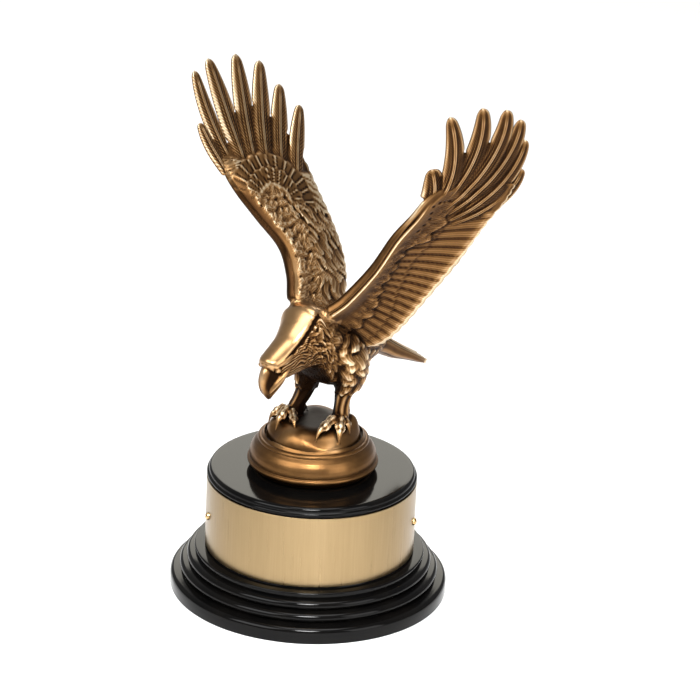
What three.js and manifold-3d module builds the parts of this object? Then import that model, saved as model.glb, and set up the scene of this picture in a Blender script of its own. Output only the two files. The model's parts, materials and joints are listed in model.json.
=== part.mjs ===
// Bronze eagle on a turned black plinth with a brass name band.
// Millimetres, +Z up. The origin is the centre of the plinth's underside and the front faces -Y.

import * as THREE from 'three';
import { LoftGeometry } from 'three/addons/geometries/LoftGeometry.js';
import { mergeVertices } from 'three/addons/utils/BufferGeometryUtils.js';
import Module from 'manifold-3d';

const wasm = await Module();
wasm.setup();

// Plinth
const footRadius = 75;
const footHeight = 8.6;
const footRound = 2;
const stepInset = 3.4;
const lowerBeadRadius = 70;
const upperBeadRadius = 66.2;
const beadHeight = 4.7;
const ledgeRadius = 62.2;
const ledgeHeight = 23.4;
const drumRadius = 55.6;
const drumHeight = 41.3;
const beadStart = 1.2;
const beadSpace = 0.6;
const ledgeThickness = 1.6;
const topMouldHeight = 4.5;
const topMouldReach = 0.7;
const topRadius = 53.8;
const plinthSegments = 32;
const beadSteps = 3;

// Name band, rolled round the drum with its ends meeting at the back
const bandGap = 0.3;
const bandThickness = 0.7;
const bandMargin = 0.9;
const bandSeamWidth = 3;
const bandSegments = 30;

// Pins through the band
const pinHeadRadius = 2.2;
const pinHeadHeight = 1.5;
const pinClearance = 0.3;
const pinSegments = 8;
const pinSpread = 76.4;
const pinRearSpread = 172;
const frontTurn = 2.4;

// Foot ring and rock of the casting
const castGap = 0.3;
const contactRadius = 31;
const lipRadius = 35.2;
const ringRadius = 34;
const ringHeight = 17.6;
const rockRadius = 28.4;
const perchHeight = 27.2;
const ringSegments = 24;
const rockSteps = 9;
const rockStart = 0.03;

// Eagle: every place and size below is for a bird of this height over the rock, and scales with it
const birdHeight = 219;
const modelHeight = 219;
const ankleHeight = 3.4;
const heading = 230;
const wingThickness = 7.4;
const featherThickness = 2;
const flutes = 10;
const fluteDepth = 0.5;
const eyeRadius = 1.3;

const radians = THREE.MathUtils.degToRad;
const plinthTop = ledgeHeight + drumHeight + topMouldHeight;
const castBottom = plinthTop + castGap;
const perchTop = castBottom + perchHeight;
const unit = birdHeight / modelHeight;
const birdFloor = perchTop + ankleHeight * unit;

// Smooth curve through rows of numbers, with t from 0 at the first row to 1 at the last
function through(rows, t) {
  const last = rows.length - 1;
  const place = Math.min(Math.max(t, 0), 1) * last;
  const i = Math.min(Math.floor(place), last - 1);
  const u = place - i;
  return rows[i].map((start, k) => {
    const end = rows[i + 1][k];
    const before = i > 0 ? rows[i - 1][k] : 2 * start - end;
    const after = i < last - 1 ? rows[i + 2][k] : 2 * end - start;
    const lean = (end - before) / 2;
    const leanEnd = (after - start) / 2;
    const bend = 3 * (end - start) - 2 * lean - leanEnd;
    const twist = 2 * (start - end) + lean + leanEnd;
    return start + u * (lean + u * (bend + u * twist));
  });
}

// Closed solid from a geometry, with shared corners merged and faces turned outwards
function solidOf(geometry) {
  const bare = new THREE.BufferGeometry();
  bare.setAttribute('position', geometry.getAttribute('position'));
  bare.setIndex(geometry.index);
  const merged = mergeVertices(bare, 1e-4);
  const points = merged.getAttribute('position').array;
  const corners = [];
  let volume = 0;
  for (let i = 0; i < merged.index.count; i += 3) {
    const [a, b, c] = [0, 1, 2].map((k) => merged.index.getX(i + k));
    if (a === b || b === c || c === a) continue;
    corners.push(a, b, c);
    const [p, q, r] = [a, b, c].map((k) => new THREE.Vector3().fromArray(points, 3 * k));
    volume += p.dot(q.cross(r));
  }
  if (volume < 0) corners.reverse();
  const mesh = new wasm.Mesh({
    numProp: 3,
    vertProperties: new Float32Array(points),
    triVerts: new Uint32Array(corners),
  });
  return new wasm.Manifold(mesh);
}

// Corner lists of the outer skins alone: a pocket sealed between overlapping forms is solid metal
function outerSkins(points, corners) {
  const parent = Array.from({ length: points.length / 3 }, (_, i) => i);
  const rootOf = (i) => {
    let at = i;
    while (parent[at] !== at) at = parent[at];
    parent[i] = at;
    return at;
  };
  for (let i = 0; i < corners.length; i += 3) {
    parent[rootOf(corners[i])] = rootOf(corners[i + 1]);
    parent[rootOf(corners[i + 1])] = rootOf(corners[i + 2]);
  }
  const volumes = new Map();
  for (let i = 0; i < corners.length; i += 3) {
    const [p, q, r] = [0, 1, 2].map((k) => new THREE.Vector3().fromArray(points, 3 * corners[i + k]));
    const skin = rootOf(corners[i]);
    volumes.set(skin, (volumes.get(skin) ?? 0) + p.dot(q.cross(r)));
  }
  return Array.from(corners).filter((_, i) => volumes.get(rootOf(corners[i - (i % 3)])) > 0);
}

function geometryOf(solid) {
  const mesh = solid.getMesh();
  const points = new Float32Array(mesh.vertProperties);
  const geometry = new THREE.BufferGeometry();
  geometry.setAttribute('position', new THREE.BufferAttribute(points, 3));
  geometry.setIndex(outerSkins(points, mesh.triVerts));
  geometry.computeVertexNormals();
  return geometry;
}

function joined(solids) {
  return solids.reduce((whole, solid) => whole.add(solid));
}

// Loft of closed sections: section(t, a) gives a point, t along the length and a once round
function loft(along, around, section) {
  const sections = [];
  for (let i = 0; i <= along; i += 1) {
    const ring = [];
    for (let j = 0; j < around; j += 1) {
      ring.push(section(i / along, j / around));
    }
    sections.push(ring);
  }
  const [first, last] = [sections[0], sections[along]].map((ring) => {
    const middle = new THREE.Vector3();
    ring.forEach((point) => middle.addScaledVector(point, 1 / around));
    return Array(around).fill(middle);
  });
  return new LoftGeometry([first, ...sections, last]);
}

function turned(profile, segments) {
  const points = profile.map(([r, z]) => new THREE.Vector2(r, z));
  return new THREE.LatheGeometry(points, segments).rotateX(Math.PI / 2);
}

// Half-round bead of a turned profile, from its lower edge to its upper edge
function bead(radius, low, height) {
  const half = height / 2;
  const points = [];
  for (let i = 0; i <= beadSteps; i += 1) {
    const angle = (i / beadSteps - 0.5) * Math.PI;
    points.push([radius - half + half * Math.cos(angle), low + half + half * Math.sin(angle)]);
  }
  return points;
}

// Plinth: foot, two beads, ledge, plain drum and a small stepped top
function plinthSolid() {
  const drumTop = ledgeHeight + drumHeight;
  const mouldTop = drumTop + topMouldHeight * 0.4;
  const mouldRadius = drumRadius + topMouldReach;
  const lowerBead = footHeight + beadStart;
  const upperBead = lowerBead + beadHeight + beadSpace;
  return solidOf(turned([
    [0, 0],
    [footRadius, 0],
    [footRadius, footHeight - footRound],
    [footRadius - footRound, footHeight],
    [footRadius - stepInset, footHeight + beadStart / 3],
    ...bead(lowerBeadRadius, lowerBead, beadHeight),
    ...bead(upperBeadRadius, upperBead, beadHeight),
    [ledgeRadius, ledgeHeight - ledgeThickness],
    [ledgeRadius, ledgeHeight],
    [drumRadius, ledgeHeight],
    [drumRadius, drumTop],
    [mouldRadius, drumTop + topMouldReach / 2],
    [mouldRadius, mouldTop],
    [mouldRadius - topMouldReach, mouldTop + topMouldReach / 2],
    [mouldRadius - topMouldReach, plinthTop - (drumRadius - topRadius) * 0.7],
    [drumRadius - (drumRadius - topRadius) * 0.3, plinthTop - (drumRadius - topRadius) * 0.2],
    [topRadius, plinthTop],
    [0, plinthTop],
  ], plinthSegments));
}

// Flat strip rolled to a ring, open at the back
function bandSolid() {
  const inner = drumRadius + bandGap;
  const outer = inner + bandThickness;
  const seam = bandSeamWidth / 2 / outer;
  const low = ledgeHeight + bandMargin;
  const high = ledgeHeight + drumHeight - bandMargin;
  const corners = [[inner, low], [outer, low], [outer, high], [inner, high]];
  return solidOf(loft(bandSegments, corners.length, (t, a) => {
    const angle = Math.PI / 2 + radians(frontTurn) + seam + t * (2 * Math.PI - 2 * seam);
    const [radius, height] = corners[Math.round(a * corners.length)];
    return new THREE.Vector3(radius * Math.cos(angle), radius * Math.sin(angle), height);
  }));
}

// Round-headed pin that stands on the band
function pinSolid(angle) {
  const seat = drumRadius + bandGap + bandThickness + pinClearance;
  const rim = pinHeadHeight / 3;
  const profile = [
    [0, 0],
    [pinHeadRadius, 0],
    [pinHeadRadius, rim],
    [pinHeadRadius * Math.SQRT1_2, rim + (pinHeadHeight - rim) * Math.SQRT1_2],
    [0, pinHeadHeight],
  ];
  const points = profile.map(([radius, height]) => new THREE.Vector2(radius, height));
  const geometry = new THREE.LatheGeometry(points, pinSegments);
  geometry.rotateX(Math.PI).translate(0, -seat, ledgeHeight + drumHeight / 2);
  return solidOf(geometry.rotateZ(radians(angle + frontTurn)));
}

// Rock under the feet: a low dome with soft lumps, over the height of the ring
const rockLumps = [
  { x: 20, y: 6, reach: 6.5, rise: 4.2 },
  { x: -21, y: 1, reach: 9, rise: 2.4 },
  { x: -8, y: -19, reach: 9, rise: 1.6 },
  { x: 9, y: -22, reach: 7, rise: -1.8 },
  { x: 2, y: 20, reach: 10, rise: 1.6 },
];

function rockProfile(share) {
  const shoulder = ringHeight + 0.8;
  return through([
    [0, perchHeight],
    [8, perchHeight - 0.1],
    [15, perchHeight - 0.7],
    [20.5, perchHeight - 2.6],
    [24, perchHeight - 5.8],
    [25.6, perchHeight - 9],
    [26.4, shoulder + 1.6],
    [rockRadius, shoulder - 1.4],
  ], share);
}

function rockPoint(share, angle) {
  const [radius, height] = rockProfile(share);
  const place = new THREE.Vector3(radius * Math.cos(angle), radius * Math.sin(angle), height);
  const hold = THREE.MathUtils.smoothstep(height, ringHeight + 1, ringHeight + 6);
  for (const lump of rockLumps) {
    const away = Math.hypot(place.x - lump.x, place.y - lump.y) / lump.reach;
    const push = lump.rise * Math.exp(-away * away) * hold;
    const slope = share * share;
    place.x += push * slope * Math.cos(angle);
    place.y += push * slope * Math.sin(angle);
    place.z += push * (1 - 0.6 * slope);
  }
  return place;
}

// Height of the rock under a place, over the top of the rock
function rockHeight(x, y) {
  const angle = Math.atan2(y, x);
  const reach = Math.hypot(x, y);
  let low = 0;
  let high = 1;
  for (let i = 0; i < 24; i += 1) {
    const middle = (low + high) / 2;
    const point = rockPoint(middle, angle);
    if (Math.hypot(point.x, point.y) < reach) low = middle;
    else high = middle;
  }
  return rockPoint(low, angle).z - perchHeight;
}

function castFoot() {
  const ring = solidOf(turned([
    [0, 0],
    [contactRadius, 0],
    [contactRadius + 0.6, 1.6],
    [lipRadius - 0.6, 3.4],
    [lipRadius, 4.6],
    [lipRadius - 0.6, 6.2],
    [ringRadius, 8.4],
    [ringRadius - 0.8, 11.6],
    [ringRadius - 2.6, 14.6],
    [rockRadius + 0.8, ringHeight - 1],
    [rockRadius + 1, ringHeight],
    [rockRadius - 0.6, ringHeight + 0.6],
    [rockRadius - 1.6, ringHeight - 0.8],
    [0, ringHeight - 0.8],
  ], ringSegments));
  const rock = solidOf(loft(rockSteps, ringSegments, (t, a) => (
    rockPoint(rockStart + (1 - rockStart) * t, 2 * Math.PI * a)
  )));
  return joined([ring, rock]).translate(0, 0, castBottom);
}

// Bird space: x forward along the heading, y to the bird's left, z up from just over the rock
// Body, neck and head as rings: top (x, z), bottom (x, z) and half width
const bodyRings = [
  [-50, 34, -47, 24.5, 8],
  [-42, 39, -38, 23.5, 11.5],
  [-31, 45.5, -28, 20.8, 15],
  [-18, 51.5, -16, 17, 17],
  [-5, 57.5, -5, 16, 18],
  [6, 63, 3, 21.5, 18],
  [13, 63.6, 7.5, 28, 16],
  [18.5, 57.8, 11, 30, 12.6],
  [25, 51.2, 16, 30, 10],
  [30.6, 47.6, 21.5, 29.4, 8.7],
  [36, 44.4, 26.5, 28.8, 7.9],
  [40, 41.8, 30.5, 28.6, 6.8],
  [41.6, 39.4, 33.5, 29, 4.6],
];

// Beak, from its root at the face to the hooked tip
const beakRings = [
  [38.6, 40.2, 28.6, 29.6, 5.4],
  [42, 36.8, 30.8, 27.6, 5.2],
  [43.6, 32.6, 32.8, 25.4, 4.6],
  [43.4, 28.2, 34.8, 23.4, 3.8],
  [41.9, 24.2, 36.2, 21.4, 2.8],
  [39.8, 21, 37, 19.6, 1.6],
  [38.2, 19.2, 37.6, 18.8, 0.4],
];

// Tail, from inside the rump to the feather tips, rolled a little to the bird's left
const tailRings = [
  [-36, 38, -36, 27, 10],
  [-48, 34.2, -47, 22.2, 9],
  [-58, 27.6, -56, 17.6, 9.2],
  [-68, 20.8, -67, 13.8, 9.8],
  [-76, 15.4, -75, 10.8, 9.8],
  [-82, 11.2, -81, 8.6, 8.4],
];

// Ring of a body form: rounded square section between a top and a bottom point
function bodyRing([topX, topZ, lowX, lowZ, halfWidth], a, power) {
  const angle = 2 * Math.PI * a;
  const rise = Math.cos(angle);
  const side = Math.sin(angle);
  const up = Math.sign(rise) * Math.abs(rise) ** power;
  const out = Math.sign(side) * Math.abs(side) ** power;
  return new THREE.Vector3(
    (topX + lowX) / 2 + ((topX - lowX) / 2) * up,
    halfWidth * out,
    (topZ + lowZ) / 2 + ((topZ - lowZ) / 2) * up,
  );
}

function bodySolid() {
  return solidOf(loft(16, 14, (t, a) => bodyRing(through(bodyRings, t), a, 0.92)));
}

function beakSolid() {
  return solidOf(loft(8, 8, (t, a) => {
    const point = bodyRing(through(beakRings, t), a, 0.95);
    const ridge = Math.max(0, Math.cos(2 * Math.PI * a));
    point.y *= 1 - 0.3 * ridge;
    return point;
  }));
}

// Brow ledge and eye on one side of the head
function browSolids(side) {
  const path = [
    [25, 6.4, 41.2, 1.2, 1.4],
    [31, 6.9, 39.6, 1.6, 1.7],
    [36.4, 6.2, 38.6, 1.8, 1.8],
    [40, 3.8, 39, 1.4, 1.5],
    [41.8, 0.8, 39.4, 0.8, 1],
  ];
  const brow = loft(6, 6, (t, a) => {
    const [x, y, z, width, height] = through(path, t);
    const angle = 2 * Math.PI * a;
    return new THREE.Vector3(x, side * (y + width * Math.cos(angle)), z + height * Math.sin(angle));
  });
  const eye = new THREE.SphereGeometry(eyeRadius, 7, 5);
  eye.translate(35.8, side * 6.3, 35.6);
  return [solidOf(brow), solidOf(eye)];
}

// Limb through rows of x, y, z, radius fore and aft, radius to the sides
function limb(rows, along, around) {
  return solidOf(loft(along, around, (t, a) => {
    const [x, y, z, reach, width] = through(rows, t);
    const angle = 2 * Math.PI * a;
    return new THREE.Vector3(x + reach * Math.cos(angle), y + width * Math.sin(angle), z);
  }));
}

const leftLeg = [
  [-4, 9, 48, 12, 7],
  [-7, 13, 39, 12.4, 9.4],
  [-10, 14, 30.5, 11.4, 9.4],
  [-11.8, 13.6, 22.5, 9.6, 8.2],
  [-11.6, 12.8, 16.5, 7.4, 6.4],
  [-9.4, 11.8, 11.5, 4.3, 4],
  [-8.6, 11.6, 7, 3.3, 3.2],
  [-8.2, 11.6, 2, 3.5, 3.4],
  [-7.4, 11.6, -4, 4.8, 4.4],
];

const rightLeg = [
  [-5, -8, 48, 12, 7],
  [-6.5, -11.5, 39, 12, 9.4],
  [-7, -12, 30, 10.5, 9],
  [-7, -11.4, 22.5, 8.8, 7.8],
  [-5.8, -10.6, 15.5, 7, 6.2],
  [-3.8, -10.2, 10.5, 5.8, 5.4],
  [-1, -10.4, 6, 5.2, 5],
  [1.6, -11.2, 2, 5, 4.8],
  [2.6, -11.8, -4, 5.6, 5],
];

// Toe from the foot to its claw, lying on the rock
function toeSolid(footX, footY, tipX, tipY, thickness) {
  const turn = radians(heading);
  const lead = new THREE.Vector2(tipX - footX, tipY - footY).normalize();
  return solidOf(loft(6, 5, (t, a) => {
    const x = footX + (tipX - footX) * t;
    const y = footY + (tipY - footY) * t;
    const worldX = (x * Math.cos(turn) - y * Math.sin(turn)) * unit;
    const worldY = (x * Math.sin(turn) + y * Math.cos(turn)) * unit;
    const ground = rockHeight(worldX, worldY) / unit - ankleHeight;
    const claw = Math.max(0, (t - 0.74) / 0.26);
    const knuckle = 1 + 0.14 * Math.cos(6 * Math.PI * t);
    const radius = thickness * (t < 0.74 ? (1 - 0.28 * t) * knuckle : 0.75 * (1 - 0.88 * claw));
    const height = ground + thickness * (0.75 + 0.35 * Math.sin(Math.PI * Math.min(1, t / 0.74)) - 1.1 * claw ** 2);
    const angle = 2 * Math.PI * a;
    const out = radius * Math.cos(angle);
    return new THREE.Vector3(x - lead.y * out, y + lead.x * out, height + radius * Math.sin(angle));
  }));
}

const toes = [
  [-7, 12, 18, 17.5, 2.6],
  [-7, 12.5, 7.5, 24.4, 2.6],
  [-7.5, 12, -3, 26.5, 2.3],
  [-8, 12, -18, 8.5, 2.4],
  [5, -13, 19, -18.5, 2.6],
  [5.5, -12.6, 25, -6, 2.6],
  [5, -12.5, 22, 4.5, 2.3],
  [3.6, -12.6, -6, -10, 2.4],
];

function tailSolid() {
  const feathers = 7;
  return solidOf(loft(5, 16, (t, a) => {
    const point = bodyRing(through(tailRings, t), a, 0.8);
    const angle = 2 * Math.PI * a;
    const top = Math.max(0, Math.cos(angle));
    const across = Math.sin(angle);
    const flute = Math.abs(Math.sin((feathers * Math.PI * (across + 1)) / 2));
    point.z += 0.9 * t * top * (flute - 0.6);
    point.x -= t * t * 2.4 * flute;
    point.z -= 0.16 * t * point.y;
    return point;
  }));
}

// Wing space: s along the wing, c back across it and n up from its upper side
const wings = {
  right: {
    root: new THREE.Vector3(12.1, -10.6, 65.6),
    span: new THREE.Vector3(-0.185, -0.52, 0.835).normalize(),
    chord: new THREE.Vector3(-0.98, 0.1, -0.16),
    side: -1,
    // Ribs from root to hand: front edge (s, c), rear edge (s, c), thickness share, camber
    ribs: [
      [-8, 4, -8, 34, 1, 1],
      [0, 0, 0, 42, 1, 2],
      [13, 3, 14, 47, 0.95, 3],
      [28, 2, 28, 47.5, 0.9, 3.4],
      [44, -9, 43, 45, 0.82, 3.4],
      [59, -19, 58, 41, 0.74, 3],
      [70, -24, 73, 37, 0.62, 2.4],
      [79, -25, 84, 34, 0.46, 1.4],
      [86, -21, 92, 27, 0.34, 0.6],
    ],
    // Long feathers: root (s, c), bend (s, c), tip (s, c), width
    primaries: [
      [76, -17, 101, -27.5, 125.6, -30, 10.5],
      [75, -9, 104, -12.5, 132, -19, 13],
      [74, -2, 104, 1, 134.3, 1.9, 13.2],
      [72, 6, 102, 12, 130.3, 17.7, 12.6],
      [68, 15, 94, 23.5, 116.9, 28.3, 12],
      [64, 25, 86, 33.5, 104.7, 39.1, 10.6],
    ],
    thumb: [70, -22, 86, -31, 97.4, -34.2, 8.6],
    armPlace: 8,
    curl: 3,
  },
  left: {
    root: new THREE.Vector3(7.9, 9.3, 62.2),
    span: new THREE.Vector3(-0.357, 0.446, 0.82).normalize(),
    chord: new THREE.Vector3(-0.81, 0.29, -0.51),
    side: 1,
    ribs: [
      [-8, 4, -8, 36, 1, 1],
      [0, 0, 0, 44, 1, 2],
      [12, 4, 14, 47, 0.95, 3],
      [34, 6, 32, 47.5, 0.9, 3.4],
      [55, 4, 52, 48, 0.82, 3.4],
      [70, 5, 70, 48, 0.74, 3],
      [80, 5, 86, 47, 0.62, 2.4],
      [88, 7, 102, 47, 0.46, 1.4],
      [94, 12, 113, 45, 0.34, 0.8],
    ],
    primaries: [
      [84, 14, 108, 11, 126.6, -13.7, 11],
      [86, 20, 120, 17, 139, -0.7, 12],
      [88, 27, 128, 26, 144.6, 11.8, 12],
      [89, 34, 128, 34, 143.6, 23.2, 11.5],
      [90, 40, 120, 41.5, 135.4, 33.6, 10.5],
      [92, 43.5, 110, 46, 120.6, 44.4, 8.6],
    ],
    thumb: [78, 10, 88, 9, 97.6, -3.7, 10],
    armPlace: 6,
    curl: 3,
  },
};

function wingPoint(wing, s, c, n) {
  const chord = wing.chord.clone().addScaledVector(wing.span, -wing.chord.dot(wing.span)).normalize();
  const normal = new THREE.Vector3().crossVectors(wing.span, chord).multiplyScalar(wing.side);
  return wing.root.clone()
    .addScaledVector(wing.span, s)
    .addScaledVector(chord, c)
    .addScaledVector(normal, n);
}

// Arm and hand of the wing: blunt rolled front edge, thin fluted rear edge
function wingPlate(wing) {
  return solidOf(loft(24, 12, (t, a) => {
    const [frontS, frontC, rearS, rearC, share, camber] = through(wing.ribs, t);
    const angle = 2 * Math.PI * a;
    const x = ((1 - Math.cos(angle)) / 2) ** 1.5;
    const face = Math.sign(Math.sin(angle));
    const nose = Math.sqrt(Math.min(1, x / 0.03)) * (1 - THREE.MathUtils.smoothstep(x, 0.08, 0.34));
    const tail = Math.min(1, 8 * x, 12 * (1 - x) + 0.3);
    const half = (featherThickness / 2) * tail + ((wingThickness * share - featherThickness) / 2) * nose;
    const quill = Math.cos(2 * Math.PI * (flutes * t - 0.8 * x));
    const fringe = THREE.MathUtils.smoothstep(x, 0.4, 0.9);
    const s = frontS + (rearS - frontS) * x;
    const c = frontC + (rearC - frontC) * x + 0.5 * fringe * quill;
    const n = face * half + 4 * camber * x * (1 - x) + fluteDepth * fringe * quill;
    return wingPoint(wing, s, c, n);
  }));
}

// Shoulder and upper arm, which carry the wing out of the body
function armSolid(wing) {
  const rows = [
    [-16, 4, -1, 8, 7],
    [-6, 2.4, -0.5, 8, 6],
    [6, 2, 0.4, 6, 4.2],
    [18, 2.6, 1, 4.4, 2.8],
    [32, 3, 1.4, 2.8, 1.6],
  ];
  return solidOf(loft(6, 8, (t, a) => {
    const [s, c, n, reach, height] = through(rows, t);
    const angle = 2 * Math.PI * a;
    return wingPoint(wing, s, c + wing.armPlace + reach * Math.cos(angle), n + height * Math.sin(angle));
  }));
}

// Width of a long feather from root to tip: broad where the feathers part, then tapered to a blunt end
const featherWidths = [[0.7], [0.88], [1], [1.05], [1.02], [0.92], [0.76], [0.36]];

// Single long feather with a raised shaft, from root through bend to tip
function featherSolid(wing, [rootS, rootC, bendS, bendC, tipS, tipC, width], lift, curl) {
  const path = new THREE.QuadraticBezierCurve3(
    new THREE.Vector3(rootS, rootC, 0),
    new THREE.Vector3(bendS, bendC, 0),
    new THREE.Vector3(tipS, tipC, 0),
  );
  return solidOf(loft(6, 6, (t, a) => {
    const place = path.getPoint(t);
    const lead = path.getTangent(t);
    const angle = 2 * Math.PI * a;
    const [share] = through(featherWidths, t);
    const out = (width / 2) * share * Math.cos(angle);
    const end = Math.min(1, (1 - t) / 0.15 + 0.4);
    const thick = (featherThickness / 2) * end + 0.5 * (1 - t);
    const n = lift + curl * t * t + thick * Math.sin(angle);
    return wingPoint(wing, place.x - lead.y * out, place.y + lead.x * out, n);
  }));
}

function wingSolids(wing) {
  const feathers = wing.primaries.map((row, i) => featherSolid(wing, row, 0.35 * (i % 2), wing.curl));
  return [wingPlate(wing), armSolid(wing), ...feathers, featherSolid(wing, wing.thumb, 0.6, 1)];
}

function eagleCasting() {
  const bird = joined([
    bodySolid(),
    beakSolid(),
    ...browSolids(1),
    ...browSolids(-1),
    limb(leftLeg, 9, 8),
    limb(rightLeg, 9, 8),
    ...toes.map((toe) => toeSolid(...toe)),
    tailSolid(),
    ...wingSolids(wings.right),
    ...wingSolids(wings.left),
  ]);
  const placed = bird.scale(unit).rotate(0, 0, heading).translate(0, 0, birdFloor);
  return joined([placed, castFoot()]);
}

const bronze = new THREE.MeshStandardMaterial({ color: 0x8a6236, roughness: 0.34, metalness: 1 });
const lacquer = new THREE.MeshStandardMaterial({ color: 0x0b0b0c, roughness: 0.12, metalness: 0 });
const brass = new THREE.MeshStandardMaterial({ color: 0xd9bd84, roughness: 0.3, metalness: 1 });
const pinMetal = new THREE.MeshStandardMaterial({ color: 0xb98a4a, roughness: 0.25, metalness: 1 });

function named(name, geometry, material) {
  const mesh = new THREE.Mesh(geometry, material);
  mesh.name = name;
  return mesh;
}

const eagle = new THREE.Group();
eagle.add(named('eagle_casting', geometryOf(eagleCasting()), bronze));
eagle.add(named('plinth', geometryOf(plinthSolid()), lacquer));
eagle.add(named('name_band', geometryOf(bandSolid()), brass));
[-pinSpread, pinSpread, -pinRearSpread, pinRearSpread].forEach((angle, i) => {
  eagle.add(named(`band_pin_${i + 1}`, geometryOf(pinSolid(angle)), pinMetal));
});

export default eagle;
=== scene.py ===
# Bronze eagle on a black turned plinth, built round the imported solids.
# Shapes are worked out in millimetres and become metres when they go into a mesh.

import json
import math
import bmesh
import bpy
import numpy as np
from mathutils import Matrix, Vector

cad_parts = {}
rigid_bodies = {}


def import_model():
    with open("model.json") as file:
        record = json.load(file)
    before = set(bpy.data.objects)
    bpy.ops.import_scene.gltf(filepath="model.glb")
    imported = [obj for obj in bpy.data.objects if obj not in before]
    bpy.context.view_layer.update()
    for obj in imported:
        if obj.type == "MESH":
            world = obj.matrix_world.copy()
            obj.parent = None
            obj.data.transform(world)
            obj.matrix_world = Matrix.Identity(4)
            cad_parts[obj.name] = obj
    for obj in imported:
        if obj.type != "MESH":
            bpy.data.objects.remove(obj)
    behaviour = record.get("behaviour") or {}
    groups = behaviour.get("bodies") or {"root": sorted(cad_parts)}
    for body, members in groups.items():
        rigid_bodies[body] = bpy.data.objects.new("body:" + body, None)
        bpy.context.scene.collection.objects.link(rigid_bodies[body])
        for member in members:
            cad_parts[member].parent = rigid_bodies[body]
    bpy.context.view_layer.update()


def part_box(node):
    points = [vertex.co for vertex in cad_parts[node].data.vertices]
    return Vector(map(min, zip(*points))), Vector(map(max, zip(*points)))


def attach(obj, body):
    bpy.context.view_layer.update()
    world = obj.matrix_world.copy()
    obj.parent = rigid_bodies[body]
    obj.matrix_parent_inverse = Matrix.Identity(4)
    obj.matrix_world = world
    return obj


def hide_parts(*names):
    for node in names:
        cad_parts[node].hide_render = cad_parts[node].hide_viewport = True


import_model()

mm = 0.001
tau = 2 * math.pi


def boxMm(node):  # a solid's lowest and highest corner, in millimetres
    low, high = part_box(node)
    return np.array(low) / mm, np.array(high) / mm


plinthHigh = boxMm("plinth")[1]
castLow = boxMm("eagle_casting")[0]
bandLow, bandHigh = boxMm("name_band")

# small maths, all on whole arrays


def smooth(x, low, high):  # eased step from 0 at low to 1 at high
    u = np.clip((np.asarray(x, float) - low) / (high - low), 0, 1)
    return u * u * (3 - 2 * u)


def hump(x, centre, reach):  # bell curve of height 1
    return np.exp(-(((x - centre) / reach) ** 2))


def mixed(first, second, share):  # first where the share is 0, second where it is 1
    return first * (1 - share) + second * share


def unitOf(v):  # the same direction at length 1
    v = np.asarray(v, float)
    return v / np.linalg.norm(v)


def through(rows, t):
    # smooth curve through rows of numbers: each stretch is a cubic whose slopes come from the rows beside it
    rows = np.asarray(rows, float)
    last = len(rows) - 1
    place = np.clip(np.asarray(t, float), 0, 1) * last
    i = np.minimum(place.astype(int), last - 1)
    u = (place - i)[..., None]
    padded = np.concatenate([[2 * rows[0] - rows[1]], rows, [2 * rows[-1] - rows[-2]]])
    before, start, end, after = (padded[i + k] for k in range(4))
    lean, leanEnd = (end - before) / 2, (after - start) / 2
    bend = 3 * (end - start) - 2 * lean - leanEnd
    twist = 2 * (start - end) + lean + leanEnd
    return start + u * (lean + u * (bend + u * twist))


def scatter(i, j, seed):  # repeatable number from 0 to 1 for each pair of whole numbers
    h = np.sin(i * 127.1 + j * 311.7 + seed * 74.7) * 43758.5453
    return h - np.floor(h)


def drift(u, v, seed):  # soft noise from 0 to 1: corner values of a grid, blended
    iu, iv = np.floor(u), np.floor(v)
    fu, fv = u - iu, v - iv
    fu, fv = fu * fu * (3 - 2 * fu), fv * fv * (3 - 2 * fv)
    low = scatter(iu, iv, seed) * (1 - fu) + scatter(iu + 1, iv, seed) * fu
    high = scatter(iu, iv + 1, seed) * (1 - fu) + scatter(iu + 1, iv + 1, seed) * fu
    return low * (1 - fv) + high * fv


def tufts(u, v, length, width, seed, jitter, lines, sway):
    # overlapping leaves: u runs towards their tips and v across. Each leaf rises to its tip, is crowned
    # across and ends in a rounded point; the highest leaf over a place wins. Gives height and line phase.
    gap = length * 0.5
    best = np.zeros(np.broadcast(u, v).shape)
    phase = np.zeros_like(best)
    row0 = np.floor(u / gap)
    for back in (0, 1, 2):
        row = row0 - back
        shift = 0.5 * np.mod(row, 2) + 0.2 * scatter(row, 0, seed + 5)
        col0 = np.round(v / width - shift)
        for beside in (-1, 0, 1):
            col = col0 + beside
            du = u - (row + jitter * (scatter(row, col, seed) - 0.5)) * gap
            t = du / length
            dv = v - (col + shift + jitter * (scatter(col, row, seed + 1) - 0.5)) * width
            dv = dv - sway * np.sin(math.pi * np.clip(t, 0, 1)) * (scatter(row, col, seed + 2) - 0.5) * width
            half = 0.62 * width * np.sqrt(np.clip(1 - np.clip((t - 0.35) / 0.65, 0, 1) ** 2.2, 0.0001, 1))
            q = dv / half
            height = (0.3 + 0.7 * t) * (1 - 0.5 * q * q)
            inside = (t > 0) & (t < 1) & (np.abs(q) < 1) & (height > best)
            best = np.where(inside, height, best)
            phase = np.where(inside, np.abs(dv) / lines + 0.8 * t, phase)
    return best, phase


# skins: closed shells on a grid, joined into one casting


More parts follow.
